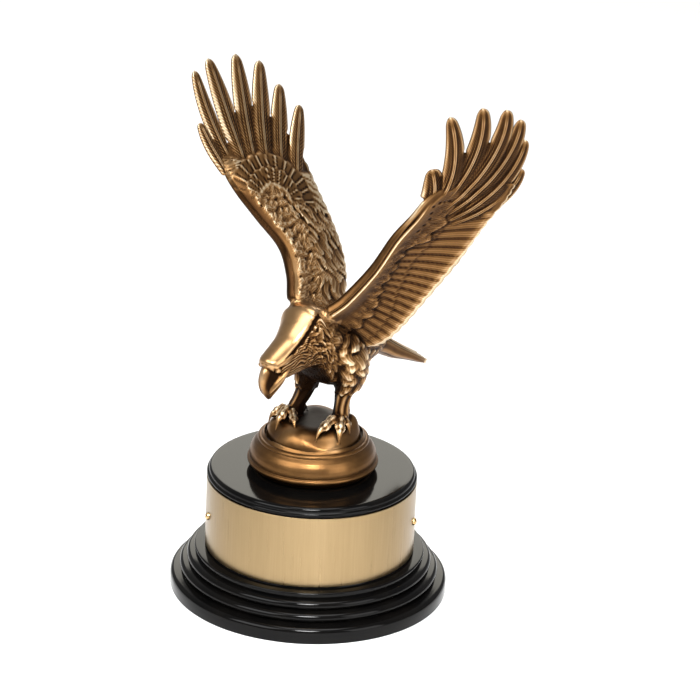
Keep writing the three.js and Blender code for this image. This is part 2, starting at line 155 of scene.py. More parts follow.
class Casting:
    # a pile of skins, each with four marks at its points: line phase, line depth, wear and polish
    def __init__(self):
        self.skins = []

    def add(self, points, grain=0.0, depth=0.0, tone=0.5, polish=0.0):
        # rows of points run along the form, columns once round it; both ends close on a middle point
        rows, cols = points.shape[:2]
        marks = [np.broadcast_to(np.asarray(m, float), (rows, cols)) for m in (grain, depth, tone, polish)]
        verts = np.concatenate([points.reshape(-1, 3), points[:1].mean(axis=1), points[-1:].mean(axis=1)])
        values = np.stack([
            np.concatenate([m.ravel(), m[:1].mean(axis=1), m[-1:].mean(axis=1)]) for m in marks])
        i = np.arange(rows - 1)[:, None] * cols
        j = np.arange(cols)[None, :]
        k = (j + 1) % cols
        quads = np.stack([i + j, i + k, i + cols + k, i + cols + j], -1).reshape(-1, 4)
        j, k = j[0], k[0]
        first, last = rows * cols, rows * cols + 1
        caps = np.concatenate([
            np.stack([k, j, np.full(cols, first)], -1),
            np.stack([(rows - 1) * cols + j, (rows - 1) * cols + k, np.full(cols, last)], -1),
        ])
        # a skin whose volume comes out negative is inside out, and is turned
        tris = np.concatenate([quads[:, [0, 1, 2]], quads[:, [0, 2, 3]], caps])
        a, b, c = (verts[tris[:, n]] - verts.mean(axis=0) for n in range(3))
        if np.einsum("ij,ij->", a, np.cross(b, c)) < 0:
            quads, caps = quads[:, ::-1], caps[:, ::-1]
        self.skins.append((verts, values, quads, caps))

    def objects(self):
        # one object for each skin; its marks ride along as UV layers, which the union keeps
        made = []
        for number, (verts, values, quads, caps) in enumerate(self.skins):
            corners = np.concatenate([quads.ravel(), caps.ravel()]).astype(np.int32)
            starts = np.concatenate([np.arange(len(quads)) * 4, len(quads) * 4 + np.arange(len(caps)) * 3])
            mesh = bpy.data.meshes.new("skin")
            mesh.vertices.add(len(verts))
            mesh.vertices.foreach_set("co", (verts * mm).ravel())
            mesh.loops.add(len(corners))
            mesh.loops.foreach_set("vertex_index", corners)
            mesh.polygons.add(len(starts))
            mesh.polygons.foreach_set("loop_start", starts.astype(np.int32))
            mesh.update(calc_edges=True)
            for name, pair in (("grainDepth", values[:2]), ("tonePolish", values[2:])):
                layer = mesh.uv_layers.new(name=name)
                layer.data.foreach_set("uv", pair.T[corners].astype(np.float32).ravel())
            layer = mesh.uv_layers.new(name="skinNumber")
            layer.data.foreach_set("uv", np.tile([float(number), 0.0], len(corners)))
            made.append(bpy.data.objects.new("skin", mesh))
        return made


def joinSkins(casting, name):
    # one solid from all the skins, then its layers turned into numbers at the points
    parts = casting.objects()
    group = bpy.data.collections.new("skins")
    base = parts[0]
    bpy.context.scene.collection.objects.link(base)
    for part in parts[1:]:
        group.objects.link(part)
    union = base.modifiers.new("union", "BOOLEAN")
    union.operation = "UNION"
    union.solver = "MANIFOLD"
    union.operand_type = "COLLECTION"
    union.collection = group
    graph = bpy.context.evaluated_depsgraph_get()
    whole = bpy.data.meshes.new_from_object(base.evaluated_get(graph), depsgraph=graph)
    for part in parts:
        bpy.data.objects.remove(part)
    bpy.data.collections.remove(group)
    whole.name = name
    return whole


def meshArrays(mesh):  # places of the points, the edges' ends and the corners' points
    co = np.empty(len(mesh.vertices) * 3)
    mesh.vertices.foreach_get("co", co)
    edges = np.empty(len(mesh.edges) * 2, np.int32)
    mesh.edges.foreach_get("vertices", edges)
    corners = np.empty(len(mesh.loops), np.int32)
    mesh.loops.foreach_get("vertex_index", corners)
    return co.reshape(-1, 3), edges.reshape(-1, 2), corners


def neighbourMean(values, edges, count):  # mean over the points that share an edge with each point
    total = np.zeros((count,) + values.shape[1:])
    for a, b in ((0, 1), (1, 0)):
        for k in range(values.shape[1]):
            total[:, k] += np.bincount(edges[:, a], values[edges[:, b], k], count)
    touching = np.bincount(edges.ravel(), minlength=count)
    return total / np.maximum(touching, 1)[:, None]


def keepOuter(mesh):
    # pockets sealed between forms are solid metal: their faces are dropped. Labels spread along the edges.
    co, edges, corners = meshArrays(mesh)
    label = np.arange(len(co))
    while True:
        low = np.minimum(label[edges[:, 0]], label[edges[:, 1]])
        new = label.copy()
        np.minimum.at(new, edges[:, 0], low)
        np.minimum.at(new, edges[:, 1], low)
        new = new[new]
        if np.array_equal(new, label):
            break
        label = new
    names, part = np.unique(label, return_inverse=True)
    span = [np.ptp(co[part == n], axis=0).max() for n in range(len(names))]
    keep = part == int(np.argmax(span))
    if keep.all():
        return 0
    work = bmesh.new()
    work.from_mesh(mesh)
    work.verts.ensure_lookup_table()
    bmesh.ops.delete(work, geom=[work.verts[int(n)] for n in np.flatnonzero(~keep)], context="VERTS")
    work.to_mesh(mesh)
    work.free()
    return len(names) - 1


castFinish = {
    "filletRings": 3, "filletPasses": 8,  # how far a join's fillet reaches, and how soft it is
    "meltRings": 8, "meltPasses": 40, "meltReach": 15,  # the same by the shoulders, and how far from them
    "nearPasses": 4, "widePasses": 26,  # blurs that tell small edges and hollows from large ones
    "shelterCell": 0.004, "shelterOut": 0.015,  # grid for the painted shade of enclosed places, and how far out it is read
    "shelterFade": [0.135, 0.165],  # heights over which the painted shade drops to a quarter, leaving the wings little of it
}


def shelterOf(co, normals, area):
    # a coarse grid of how much surface lies where, blurred, then read a little way out from each point: how
    # enclosed each place is, the measure for the painted shade
    cell, out = castFinish["shelterCell"], castFinish["shelterOut"]
    low = co.min(axis=0) - 6 * cell
    size = tuple(np.ceil((co.max(axis=0) - low) / cell).astype(int) + 7)
    spot = ((co - low) / cell).astype(int)
    grid = np.bincount(np.ravel_multi_index(spot.T, size), area, int(np.prod(size))).reshape(size)
    for axis in range(3):
        grid = sum(np.roll(grid, k, axis) for k in (-2, -1, 0, 1, 2)) / 5
    spot = (co + normals * out - low) / cell - 0.5
    base = np.floor(spot).astype(int)
    part = spot - base
    total = np.zeros(len(co))
    for corner in np.ndindex(2, 2, 2):
        share = np.prod(np.where(corner, part, 1 - part), axis=1)
        total += share * grid[tuple((base + corner).T)]
    return total / cell ** 2


def finishCasting(mesh, meltSpots):
    # soften the joins, measure hollows, edges and how enclosed each place is, and write them at the points
    # for the patina and the painted shade
    dropped = keepOuter(mesh)
    co, edges, corners = meshArrays(mesh)
    count = len(co)
    marks = {}
    for name in ("grainDepth", "tonePolish", "skinNumber"):
        pair = np.empty(len(corners) * 2, np.float32)
        mesh.uv_layers[name].data.foreach_get("uv", pair)
        pair = pair.reshape(-1, 2)
        touching = np.maximum(np.bincount(corners, minlength=count), 1)
        marks[name] = np.stack([np.bincount(corners, pair[:, k], count) / touching for k in (0, 1)], -1)
        if name == "skinNumber":
            spread = np.bincount(corners, pair[:, 0] ** 2, count) / touching - marks[name][:, 0] ** 2
            join = spread > 0.01
    # cast fillet: points along the joins and their neighbours ease towards the mean of what is round them
    weight = join.astype(float)
    for _ in range(castFinish["filletRings"]):
        weight = np.maximum(weight, 1.152 * neighbourMean(weight[:, None], edges, count)[:, 0])
    weight = np.clip(weight, 0, 1)[:, None]
    for _ in range(castFinish["filletPasses"]):
        co = co + 0.5 * weight * (neighbourMean(co, edges, count) - co)
    # where the wings leave the back the join is melted further
    melt = join.astype(float)
    for _ in range(castFinish["meltRings"]):
        melt = np.maximum(melt, np.minimum(1, 1.5 * neighbourMean(melt[:, None], edges, count)[:, 0]))
    inside, meltReach = np.zeros(count), castFinish["meltReach"]
    for spot in meltSpots:
        away = np.linalg.norm(co / mm - spot, axis=1)
        inside = np.maximum(inside, 1 - smooth(away, meltReach * 0.5, meltReach))
    melt = (melt * inside)[:, None]
    for _ in range(castFinish["meltPasses"]):
        co = co + 0.5 * melt * (neighbourMean(co, edges, count) - co)
    mesh.vertices.foreach_set("co", co.ravel())
    mesh.update()
    normals = np.empty(count * 3)
    mesh.vertices.foreach_get("normal", normals)
    normals = normals.reshape(-1, 3)
    # hollows and edges: how far a point stands out of its surroundings, near and wide, in millimetres
    blurred, done = co.copy(), 0
    reach = {}
    for name in ("near", "wide"):
        passes = castFinish[name + "Passes"]
        for _ in range(passes - done):
            blurred = blurred + 0.7 * (neighbourMean(blurred, edges, count) - blurred)
        done = passes
        reach[name] = np.einsum("ij,ij->i", co - blurred, normals) / mm
    sizes = np.empty(len(mesh.polygons))
    mesh.polygons.foreach_get("area", sizes)
    sides = np.empty(len(mesh.polygons), np.int32)
    mesh.polygons.foreach_get("loop_total", sides)
    area = np.bincount(corners, np.repeat(sizes / sides, sides), count)
    # painted shade: the more surface round a place, the darker it will be painted; weaker high up, over the
    # wings
    shelter = shelterOf(co, normals, area) * (1 - 0.75 * smooth(co[:, 2], *castFinish["shelterFade"]))
    grain, depth = marks["grainDepth"].T
    tone, polish = marks["tonePolish"].T
    # the melted shoulders are rubbed as bright as the hood
    rubbed = inside ** 0.5 * (normals[:, 2] > -0.2) * smooth(melt[:, 0], 0.05, 0.5)
    tone, polish = tone + (0.9 - tone) * rubbed, polish + (0.95 - polish) * rubbed
    for name, values in (("grain", grain), ("depth", depth), ("tone", tone), ("polish", polish),
                         ("near", reach["near"]), ("wide", reach["wide"]), ("shelter", shelter)):
        layer = mesh.attributes.new(name, "FLOAT", "POINT")
        layer.data.foreach_set("value", values.astype(np.float32))
    while mesh.uv_layers:
        mesh.uv_layers.remove(mesh.uv_layers[0])
    mesh.shade_smooth()
    triangles = int((sides - 2).sum())
    print("casting:", len(sides), "faces,", triangles, "triangles,", dropped, "loose pockets dropped")


# the bird's own space: x forward, y to its left, z up from just over the rock

bird = {
    "heading": math.radians(230),
    "floor": castLow[2] + 30.6,  # the ankles, 3.4 over the top of the rock
    "fine": 0.93,  # grid density
    "shoulders": [[11, -7, 62], [8, 7, 60]],  # where the wings melt into the back
}


def headed(x, y):  # a flat place turned to the bird's heading
    turn = bird["heading"]
    return x * math.cos(turn) - y * math.sin(turn), x * math.sin(turn) + y * math.cos(turn)


def toRow(points):  # bird space to the row's frame
    x, y = headed(points[..., 0], points[..., 1])
    return np.stack([x, y, points[..., 2] + bird["floor"]], -1)


def steps(count):  # grid lines for a count drawn at full density
    return max(4, int(round(count * bird["fine"])))


def gridOf(rows, cols):  # the two parameters of a skin: t from end to end, a once round
    t = np.linspace(0, 1, steps(rows))[:, None]
    a = np.arange(steps(cols))[None, :] / steps(cols)
    return t, a


def thereAndBack(across):
    # closed section of a plate: the places across it, out over the upper side and back under the lower one
    half = len(across) - 1
    face = np.concatenate([np.ones(half + 1), -np.ones(half - 1)])[None, :]
    face[0, [0, half]] = 0
    return np.concatenate([across, across[-2:0:-1]])[None, :], face


def ringPoint(row, a, power):
    # rounded square section between a top and a bottom point: cosine up, sine to the side, each to a power
    topX, topZ, lowX, lowZ, halfWidth = (row[..., k] for k in range(5))
    rise, side = np.cos(tau * a), np.sin(tau * a)
    up = np.sign(rise) * np.abs(rise) ** power
    out = np.sign(side) * np.abs(side) ** power
    return np.stack([(topX + lowX) / 2 + (topX - lowX) / 2 * up, halfWidth * out,
                     (topZ + lowZ) / 2 + (topZ - lowZ) / 2 * up], -1)


def outward(points):
    # direction straight out of a grid skin: the cross product of its two grid directions,
    # pointing off its axis
    along = np.gradient(points, axis=0)
    around = np.roll(points, -1, axis=1) - np.roll(points, 1, axis=1)
    normal = np.cross(along, around)
    normal /= np.maximum(np.linalg.norm(normal, axis=-1, keepdims=True), 1e-9)
    away = points - points.mean(axis=1, keepdims=True)
    sign = np.sign(np.sum(normal * away, axis=(0, 1)).sum())
    return normal * (sign if sign else 1)


def pushOut(points, height):  # relief: each point moves straight out by its height
    return points + outward(points) * height[..., None]


# body, neck and head

body = {
    # top (x, z), bottom (x, z), half width
    "rings": [
        [-50, 34, -47, 24.5, 8],
        [-42, 39, -38, 23.5, 11.5],
        [-31, 45.5, -28, 20.8, 15],
        [-18, 51.5, -16, 17, 17],
        [-5, 57.5, -5, 16, 18],
        [6, 63, 3, 21.5, 18],
        [13, 63.6, 7.5, 28, 16],
        [18.5, 57.8, 11, 30, 12.6],
        [25, 51.2, 16, 30, 10],
        [30.6, 47.6, 21.5, 29.4, 8.7],
        [36, 44.4, 26.5, 28.8, 7.9],
        [40, 41.8, 30.5, 28.6, 6.8],
        [41.6, 39.4, 33.5, 29, 4.6],
    ],
    "power": 0.92,
    "length": 112,  # along the spine
    "hoodEdge": [0.07, 0.425, 0.23],  # turn of its lower edge, where along the body, and its gain along it
    "hoodRise": 0.9,
}


def addBody(casting):
    # squarish rings along the spine from tail to face, with hood, strands and tufts as relief
    t, a = gridOf(150, 132)
    ring = through(body["rings"], t + 0 * a)
    points = ringPoint(ring, a + 0 * t, body["power"])
    u = (1 - t) * body["length"] + 0 * a  # from the face back to the tail
    turn = np.minimum(a, 1 - a) + 0 * t  # 0 at the top, 0.5 below
    v = (a - 0.5) * 74 + 0 * t
    # smooth hood over back, nape and crown, with a sharp lower edge
    edgeTurn, edgeAt, edgeGain = body["hoodEdge"]
    hoodLine = edgeTurn + edgeGain * (t - edgeAt) + 0.004 * np.sin(u / 6) + 0.08 * (a > 0.5)
    hood = smooth(hoodLine - turn, -0.004, 0.006) * smooth(t, 0.3, 0.38)
    lip = hump(turn, hoodLine + 0.012, 0.012) * smooth(t, 0.36, 0.44)
    # neck side: long strands, straight by the face, waved over the breast
    wave = 2.6 * (drift(u / 8, v / 6, 3) - 0.5) + smooth(u, 20, 42) * 4.5 * (drift(u / 5, v / 5, 4) - 0.5)
    strand = 0.5 + 0.5 * np.cos(tau * (v + wave) / 1.6)
    curl, curlPhase = tufts(u, v + 0.9 * wave, 7.4, 2.7, 11, 0.8, 0.8, 1.6)
    leaf, leafPhase = tufts(u, v + 0.5 * wave, 9, 5, 17, 0.6, 0.95, 0.8)
    neckShare = smooth(t + 0.03 * (drift(u / 4, v / 4, 5) - 0.5), 0.6, 0.76)
    breast = smooth(t, 0.4, 0.52) * (1 - neckShare)
    plumage = (1 - smooth(t, 0.4, 0.52)) * leaf + breast * (0.75 * curl + 0.25 * strand) + neckShare * strand
    height = (1.2 - 0.35 * breast - 0.75 * neckShare) * (plumage - 0.5)
    height = mixed(height, body["hoodRise"], hood) - 0.9 * lip
    height = height * smooth(t, 0, 0.04) * (1 - 0.6 * smooth(t, 0.93, 1))
    hollow = hump(t, head["eyeHollow"][0], 0.035) * hump(turn, head["eyeHollow"][1], 0.055)
    points = pushOut(points, height - 1.5 * hollow)
    # painted shade: the underside of the body's middle is darkened
    paintedBellyShade = smooth(turn, 0.36, 0.44) * smooth(t, 0.3, 0.4) * (1 - smooth(t, 0.72, 0.84))
    tone = 0.16 + 0.52 * plumage
    tone = mixed(tone, 0.98, hood) - 0.7 * lip - 0.9 * hollow - 0.8 * paintedBellyShade
    grain = np.where(breast > 0.5, curlPhase, leafPhase)
    grain = np.where(neckShare > 0.5, (v + wave) / 0.8, grain)
    depth = (1 - hood) * (0.7 - 0.3 * neckShare)
    casting.add(toRow(points), grain, depth, tone, 0.9 * hood)


head = {
    "beakRings": [
        [38.6, 40.2, 27.6, 29.0, 6.6],
        [42, 36.8, 30, 26.6, 6.6],
        [43.6, 32.6, 32.6, 24.2, 5.8],
        [43.4, 28.2, 34.8, 22.2, 4.6],
        [41.9, 24.2, 36.2, 20.6, 3.2],
        [39.8, 21, 37, 19.4, 1.8],
        [38.2, 19.2, 37.6, 18.8, 0.4],
    ],
    # brow ledge and edge of the mouth: x, y, z, half width, half height
    "browPath": [
        [28, 7.4, 43, 0.8, 0.9],
        [33, 7.3, 41.2, 1, 1],
        [37, 6.3, 39.7, 1.1, 1.1],
        [40, 3.8, 39.3, 1, 1.1],
        [41.8, 0.8, 39.4, 0.8, 0.9],
    ],
    "mouthPath": [
        [28.6, 7.2, 37.4, 0.7, 0.8],
        [33.2, 7.2, 34, 1.3, 1.6],
        [36.4, 6.2, 30.8, 1.5, 1.8],
        [39, 4.9, 27.6, 1.3, 1.6],
        [40.2, 3.2, 24.6, 0.9, 1],
        [39.6, 1.8, 21.8, 0.5, 0.5],
    ],
    "eye": [37.2, 5.9, 36.9],
    "eyeRadius": 1.6,
    "eyeHollow": [0.955, 0.225],  # where along the body and how far round it
}


def addHead(casting):
    # beak as rings that turn down to its tip, with ledges carried along two paths and an eye on each side
    t, a = gridOf(44, 40)
    points = ringPoint(through(head["beakRings"], t + 0 * a), a + 0 * t, 0.8)
    turn = np.minimum(a, 1 - a) + 0 * t
    points[..., 1] *= 1 - 0.5 * np.maximum(0, np.cos(tau * a))
    # a dark hollow beside the ridge of the beak, and the mouth's line under its raised edge
    groove = hump(turn, 0.385, 0.025) * (1 - smooth(t, 0.6, 0.85))
    cheek = hump(turn, 0.19, 0.075) * (1 - smooth(t, 0.42, 0.7))
    points = pushOut(points, -0.8 * groove - 1.0 * cheek)
    tone = 0.18 + 0.55 * hump(turn, 0, 0.1) - 0.6 * groove - 0.6 * cheek
    casting.add(toRow(points), 0, 0, tone, 0.5 * hump(turn, 0, 0.12) + 0 * t)
    for side in (1, -1):
        for path, count in (("browPath", 34), ("mouthPath", 44)):
            t, a = gridOf(count, 16)
            row = through(head[path], t + 0 * a)
            x, y, z, width, height = (row[..., k] for k in range(5))
            ledge = np.stack([x, side * (y + width * np.cos(tau * a)), z + height * np.sin(tau * a)], -1)
            casting.add(toRow(ledge), 0, 0, 0.68, 0.6)
        casting.add(toRow(ball(head["eye"], head["eyeRadius"], side)), 0, 0, 0.55, 0.4)


def ball(centre, radius, side):  # small sphere from turned half circles
    t = np.linspace(0.02, 0.98, steps(14))[:, None]
    a = np.arange(steps(18))[None, :] / steps(18)
    ringSize = radius * np.sin(math.pi * t)
    return np.stack([centre[0] + ringSize * np.cos(tau * a), side * centre[1] + ringSize * np.sin(tau * a),
                     centre[2] + radius * np.cos(math.pi * t) + 0 * a], -1)


# rock and ring under the feet

rock = {
    "ringHeight": 17.6,
    "contactRadius": 31,
    "lipRadius": 35.2,
    "ringRadius": 34,
    "rockRadius": 28.4,
    "perchHeight": 27.2,
    "lumps": [  # x, y, reach, rise
        [20, 6, 6.5, 4.2],
        [-21, 1, 9, 2.4],
        [-8, -19, 9, 1.6],
        [9, -22, 7, -1.8],
        [2, 20, 10, 1.6],
    ],
}


def rockPoint(share, angle):
    # dome profile turned round, pushed in and out by soft lumps
    perch, shoulder = rock["perchHeight"], rock["ringHeight"] + 0.8
    profile = through([
        [0, perch], [8, perch - 0.1], [15, perch - 0.7], [20.5, perch - 2.6], [24, perch - 5.8],
        [25.6, perch - 9], [26.4, shoulder + 1.6], [rock["rockRadius"], shoulder - 1.4],
    ], share)
    radius, height = profile[..., 0], profile[..., 1]
    x, y, z = radius * np.cos(angle), radius * np.sin(angle), height
    hold = smooth(height, rock["ringHeight"] + 1, rock["ringHeight"] + 6)
    slope = share * share
    for lumpX, lumpY, reach, rise in rock["lumps"]:
        push = rise * np.exp(-(((x - lumpX) ** 2 + (y - lumpY) ** 2) / reach ** 2)) * hold
        x = x + push * slope * np.cos(angle)
        y = y + push * slope * np.sin(angle)
        z = z + push * (1 - 0.6 * slope)
    return np.stack([x, y, z], -1)


def rockHeight(x, y):  # height of the rock under a place, over the rock's top, found by halving
    angle, reach = np.arctan2(y, x), np.hypot(x, y)
    low, high = np.zeros_like(angle), np.ones_like(angle)
    for _ in range(24):
        middle = (low + high) / 2
        point = rockPoint(middle, angle)
        short = np.hypot(point[..., 0], point[..., 1]) < reach
        low, high = np.where(short, middle, low), np.where(short, high, middle)
    return rockPoint(low, angle)[..., 2] - rock["perchHeight"]


def addFoot(casting):
    # the rock with its facets, a painted shadow between the feet, and the moulded ring it sits in
    base = castLow[2]
    t = np.linspace(0.004, 1, steps(52))[:, None]
    a = np.arange(steps(150))[None, :] / steps(150)
    points = rockPoint(t + 0 * a, tau * a + 0 * t)
    facet = drift(points[..., 0] / 11 + 7, points[..., 1] / 11 + 3, 21) - 0.5
    points = pushOut(points, 1.3 * facet * smooth(t, 0.1, 0.3) * (1 - smooth(t, 0.86, 0.95)))
    # painted shadow: the rock's top under the body, between the feet, is darkened and left unpolished
    between = smooth(-np.hypot(points[..., 0] - 1, points[..., 1] + 3), -17, -11)
    points[..., 2] += base
    casting.add(points, 0, 0, 0.62 + 0.5 * facet - 0.9 * between, 0.8 * (1 - between))
    r, contact, lip = rock["ringRadius"], rock["contactRadius"], rock["lipRadius"]
    top, inner = rock["ringHeight"], rock["rockRadius"]
    profile = [
        [0.4, 0], [contact - 0.6, 0], [contact, 0.2], [contact + 0.6, 1.6], [lip - 0.7, 3.2],
        [lip - 0.1, 4.1], [lip, 4.9], [lip - 0.3, 5.6], [lip - 1.3, 6.1], [lip - 1.2, 7.0],
        [r, 8.4], [r - 0.3, 10.2], [r - 1.1, 12.2], [r - 2.4, 14.2], [r - 4.0, 15.6],
        [inner + 1.0, 16.2], [inner + 1.5, top - 0.9],
        [inner + 1.2, top - 0.1], [inner + 0.4, top + 0.5], [inner - 0.6, top + 0.5], [inner - 1.2, top],
        [inner - 1.4, top - 1.4], [inner - 3, top - 1.6], [0.4, top - 1.6],
    ]
    casting.add(turned(profile, 3, steps(170), base), 0, 0, 0.46, 0.8)


def turned(profile, fine, around, lift=0.0):
    # profile carried round the upright axis; each stretch of it is divided evenly
    profile = np.asarray(profile, float)
    t = np.arange((len(profile) - 1) * fine + 1) / fine
    r = np.interp(t, np.arange(len(profile)), profile[:, 0])[:, None]
    z = np.interp(t, np.arange(len(profile)), profile[:, 1])[:, None]
    a = np.arange(around)[None, :] / around * tau
    return np.stack([r * np.cos(a), r * np.sin(a), z + lift + 0 * a], -1)


# legs, toes and claws

legs = {
    # x, y, z, reach fore and aft, reach to the sides
    "left": [
        [-4, 9, 48, 12, 7], [-7, 13, 39, 12.4, 9.4], [-10, 14, 30.5, 11.4, 9.4],
        [-11.8, 13.6, 22.5, 9.6, 8.2], [-11.6, 12.8, 16.5, 7.4, 6.4], [-9.6, 11.8, 11.5, 5.4, 4.8],
        [-8.8, 11.6, 7, 4.7, 4.3], [-8.2, 11.6, 2, 4.9, 4.5], [-7.4, 11.6, -4, 5.6, 5],
    ],
    "right": [
        [-5, -8, 48, 12, 7], [-6.5, -11.5, 39, 12, 9.4], [-7, -12, 30, 10.5, 9], [-7, -11.4, 22.5, 8.8, 7.8],
        [-5.8, -10.6, 15.5, 7, 6.2], [-3.8, -10.2, 10.5, 5.8, 5.4], [-1, -10.4, 6, 5.2, 5],
        [1.6, -11.2, 2, 5, 4.8], [2.6, -11.8, -4, 5.6, 5],
    ],
    "hem": [13.5, 11.5],  # height where each trouser ends
    # foot (x, y), toe tip (x, y), thickness
    "toes": [
        [-7, 12, 15.8, 14.9, 3], [-7, 12.5, 6.4, 23.2, 3],
        [-7.5, 12, -4.6, 21.6, 2.8], [-8, 12, -18, 8.5, 2.8],
        [5, -13, 16.2, -19.4, 2.9], [5.5, -12.6, 20.2, -9.4, 3],
        [5, -12.5, 17.5, 1.6, 2.6], [3.6, -12.6, -6, -10, 2.8],
    ],
    "ankle": 3.4,  # from the rock's top up to the ankles
}


def addLegs(casting):
    # oval rings down each leg, leaves on the trouser and ridges on the shank; then toes along the rock
    for side, (name, hem) in enumerate(zip(("left", "right"), legs["hem"])):
        t, a = gridOf(72, 56)
        row = through(legs[name], t + 0 * a)
        x, y, z, reach, width = (row[..., k] for k in range(5))
        points = np.stack([x + reach * np.cos(tau * a), y + width * np.sin(tau * a), z], -1)
        u, v = 48 - z, a * 42 + 0 * t
        leaf, phase = tufts(u, v + 1.5 * np.sin(u / 6), 9.6, 5.4, 31 + side, 0.5, 1.0, 0.8)
        ragged = hem + 1.6 * np.cos(tau * a * 7) * 0.6
        trouser = smooth(z, ragged - 0.5, ragged + 0.5)
        ridge = np.cos(tau * (a * 7 + 0.12 * np.sin(z / 3)))
        points = pushOut(points, mixed(0.26 * ridge - 0.4, 1.7 * (leaf - 0.35), trouser))
        # painted shade: each leg's inner side, facing the other leg, is darkened
        inner = smooth(np.sin(tau * a) * (1 if name == "right" else -1), -0.1, 0.5)
        tone = mixed(0.3 + 0.2 * ridge, 0.58 * leaf - 0.08, trouser) - 1.6 * inner
        casting.add(toRow(points), np.where(trouser > 0.5, phase, a * 18), 0.6 * trouser, tone, 0.0)
    for footX, footY, tipX, tipY, thick in legs["toes"]:
        t, a = gridOf(40, 18)
        lead = unitOf([tipX - footX, tipY - footY])
        x, y = footX + (tipX - footX) * t, footY + (tipY - footY) * t
        ground = rockHeight(*headed(x, y)) - legs["ankle"]
        claw = np.clip((t - 0.7) / 0.3, 0, 1)
        knuckle = 1 + 0.13 * np.cos(6.4 * math.pi * t)
        toeRadius = thick * np.where(t < 0.7, (1 - 0.3 * t) * knuckle, 0.62 * (1 - claw ** 1.4) + 0.05)
        toeRadius = toeRadius * (1 + 0.05 * np.cos(tau * t * 14) * (t < 0.7))
        rise = thick * (0.75 + 0.4 * np.sin(math.pi * np.clip(t / 0.74, 0, 1))
                        + 0.5 * np.sin(math.pi * claw) - claw ** 2)
        ribbed = 1 + 0.12 * np.cos(tau * a * 5) * (1 - claw)
        out, up = toeRadius * ribbed * np.cos(tau * a), toeRadius * ribbed * np.sin(tau * a)
        points = np.stack([x - lead[1] * out, y + lead[0] * out, ground + rise + up], -1)
        # each toe is painted lighter on top and darker underneath, painted light and shade; its ribs are
        # lighter, and the claw a little lighter
        tone = 0.06 + 0.35 * np.sin(tau * a) + 0.22 * np.cos(tau * a * 5) * (1 - claw) + 0.1 * claw
        casting.add(toRow(points), 0, 0, tone, 0.15 * claw + 0 * a)


# tail

tail = {
    "rings": [  # top (x, z), bottom (x, z), half width
        [-36, 38, -36, 27, 10], [-48, 34.2, -47, 22.2, 9], [-58, 27.6, -56, 17.6, 9.2],
        [-68, 20.8, -67, 13.8, 9.8], [-76, 15.4, -75, 10.8, 9.8], [-82, 11.2, -81, 8.6, 8.4],
    ],
    "feathers": 7,
}


def addTail(casting):
    # flat fan: each feather laps the next by a step and has a shaft; the ends are scalloped
    t, a = gridOf(64, 84)
    points = ringPoint(through(tail["rings"], t + 0 * a), a + 0 * t, 0.8)
    across = np.sin(tau * a)
    top = smooth(np.cos(tau * a), -0.1, 0.3)
    place = tail["feathers"] * (across + 1) / 2 + 0 * t
    blade = place - np.floor(place)
    shaft = hump(blade, 0.5, 0.07)
    step = 0.75 * (blade - 0.5) * smooth(t, 0.1, 0.3)
    flute = np.abs(np.sin(math.pi * place))
    points[..., 2] += 0.9 * t * np.maximum(0, np.cos(tau * a)) * (flute - 0.6)
    points[..., 0] -= t * t * 2.4 * flute
    points[..., 2] -= 0.16 * t * points[..., 1]
    points = pushOut(points, mixed(0.5 * step, step + 0.35 * shaft, top))
    tone = 0.5 + 0.35 * (blade - 0.5) + 0.3 * shaft
    tone = tone - 0.45 * hump(blade, 0, 0.08) - 0.45 * hump(blade, 1, 0.08)
    grain = np.abs(blade - 0.5) * 3.4 + t * 34
    casting.add(toRow(points), grain, 0.2 * top, tone, 0.3 * (1 - top) + 0 * t)


# wings: s runs out along the wing, c back across it and n up from its upper side

wingForm = {
    "thick": 7.4,
    "featherThick": 2.0,
    "secondaries": 21,  # feathers along the trailing edge
    "vanePitch": 4.1,
    # arm rings: s, c, n, half reach fore and aft, half height
    "armRings": [[-16, 4, -1, 8, 6.4], [-8, 3.8, 0.2, 6.6, 3.6], [-2, 4.2, 0.8, 4.6, 1.9],
                 [3, 4.8, 1.2, 2.8, 0.9], [8, 5.4, 1.5, 1.2, 0.3]],
    # share of a long feather's width from root to tip
    "featherWidths": [[0.94], [0.97], [1.02], [1.06], [1.05], [0.99], [0.88], [0.71], [0.46]],
}

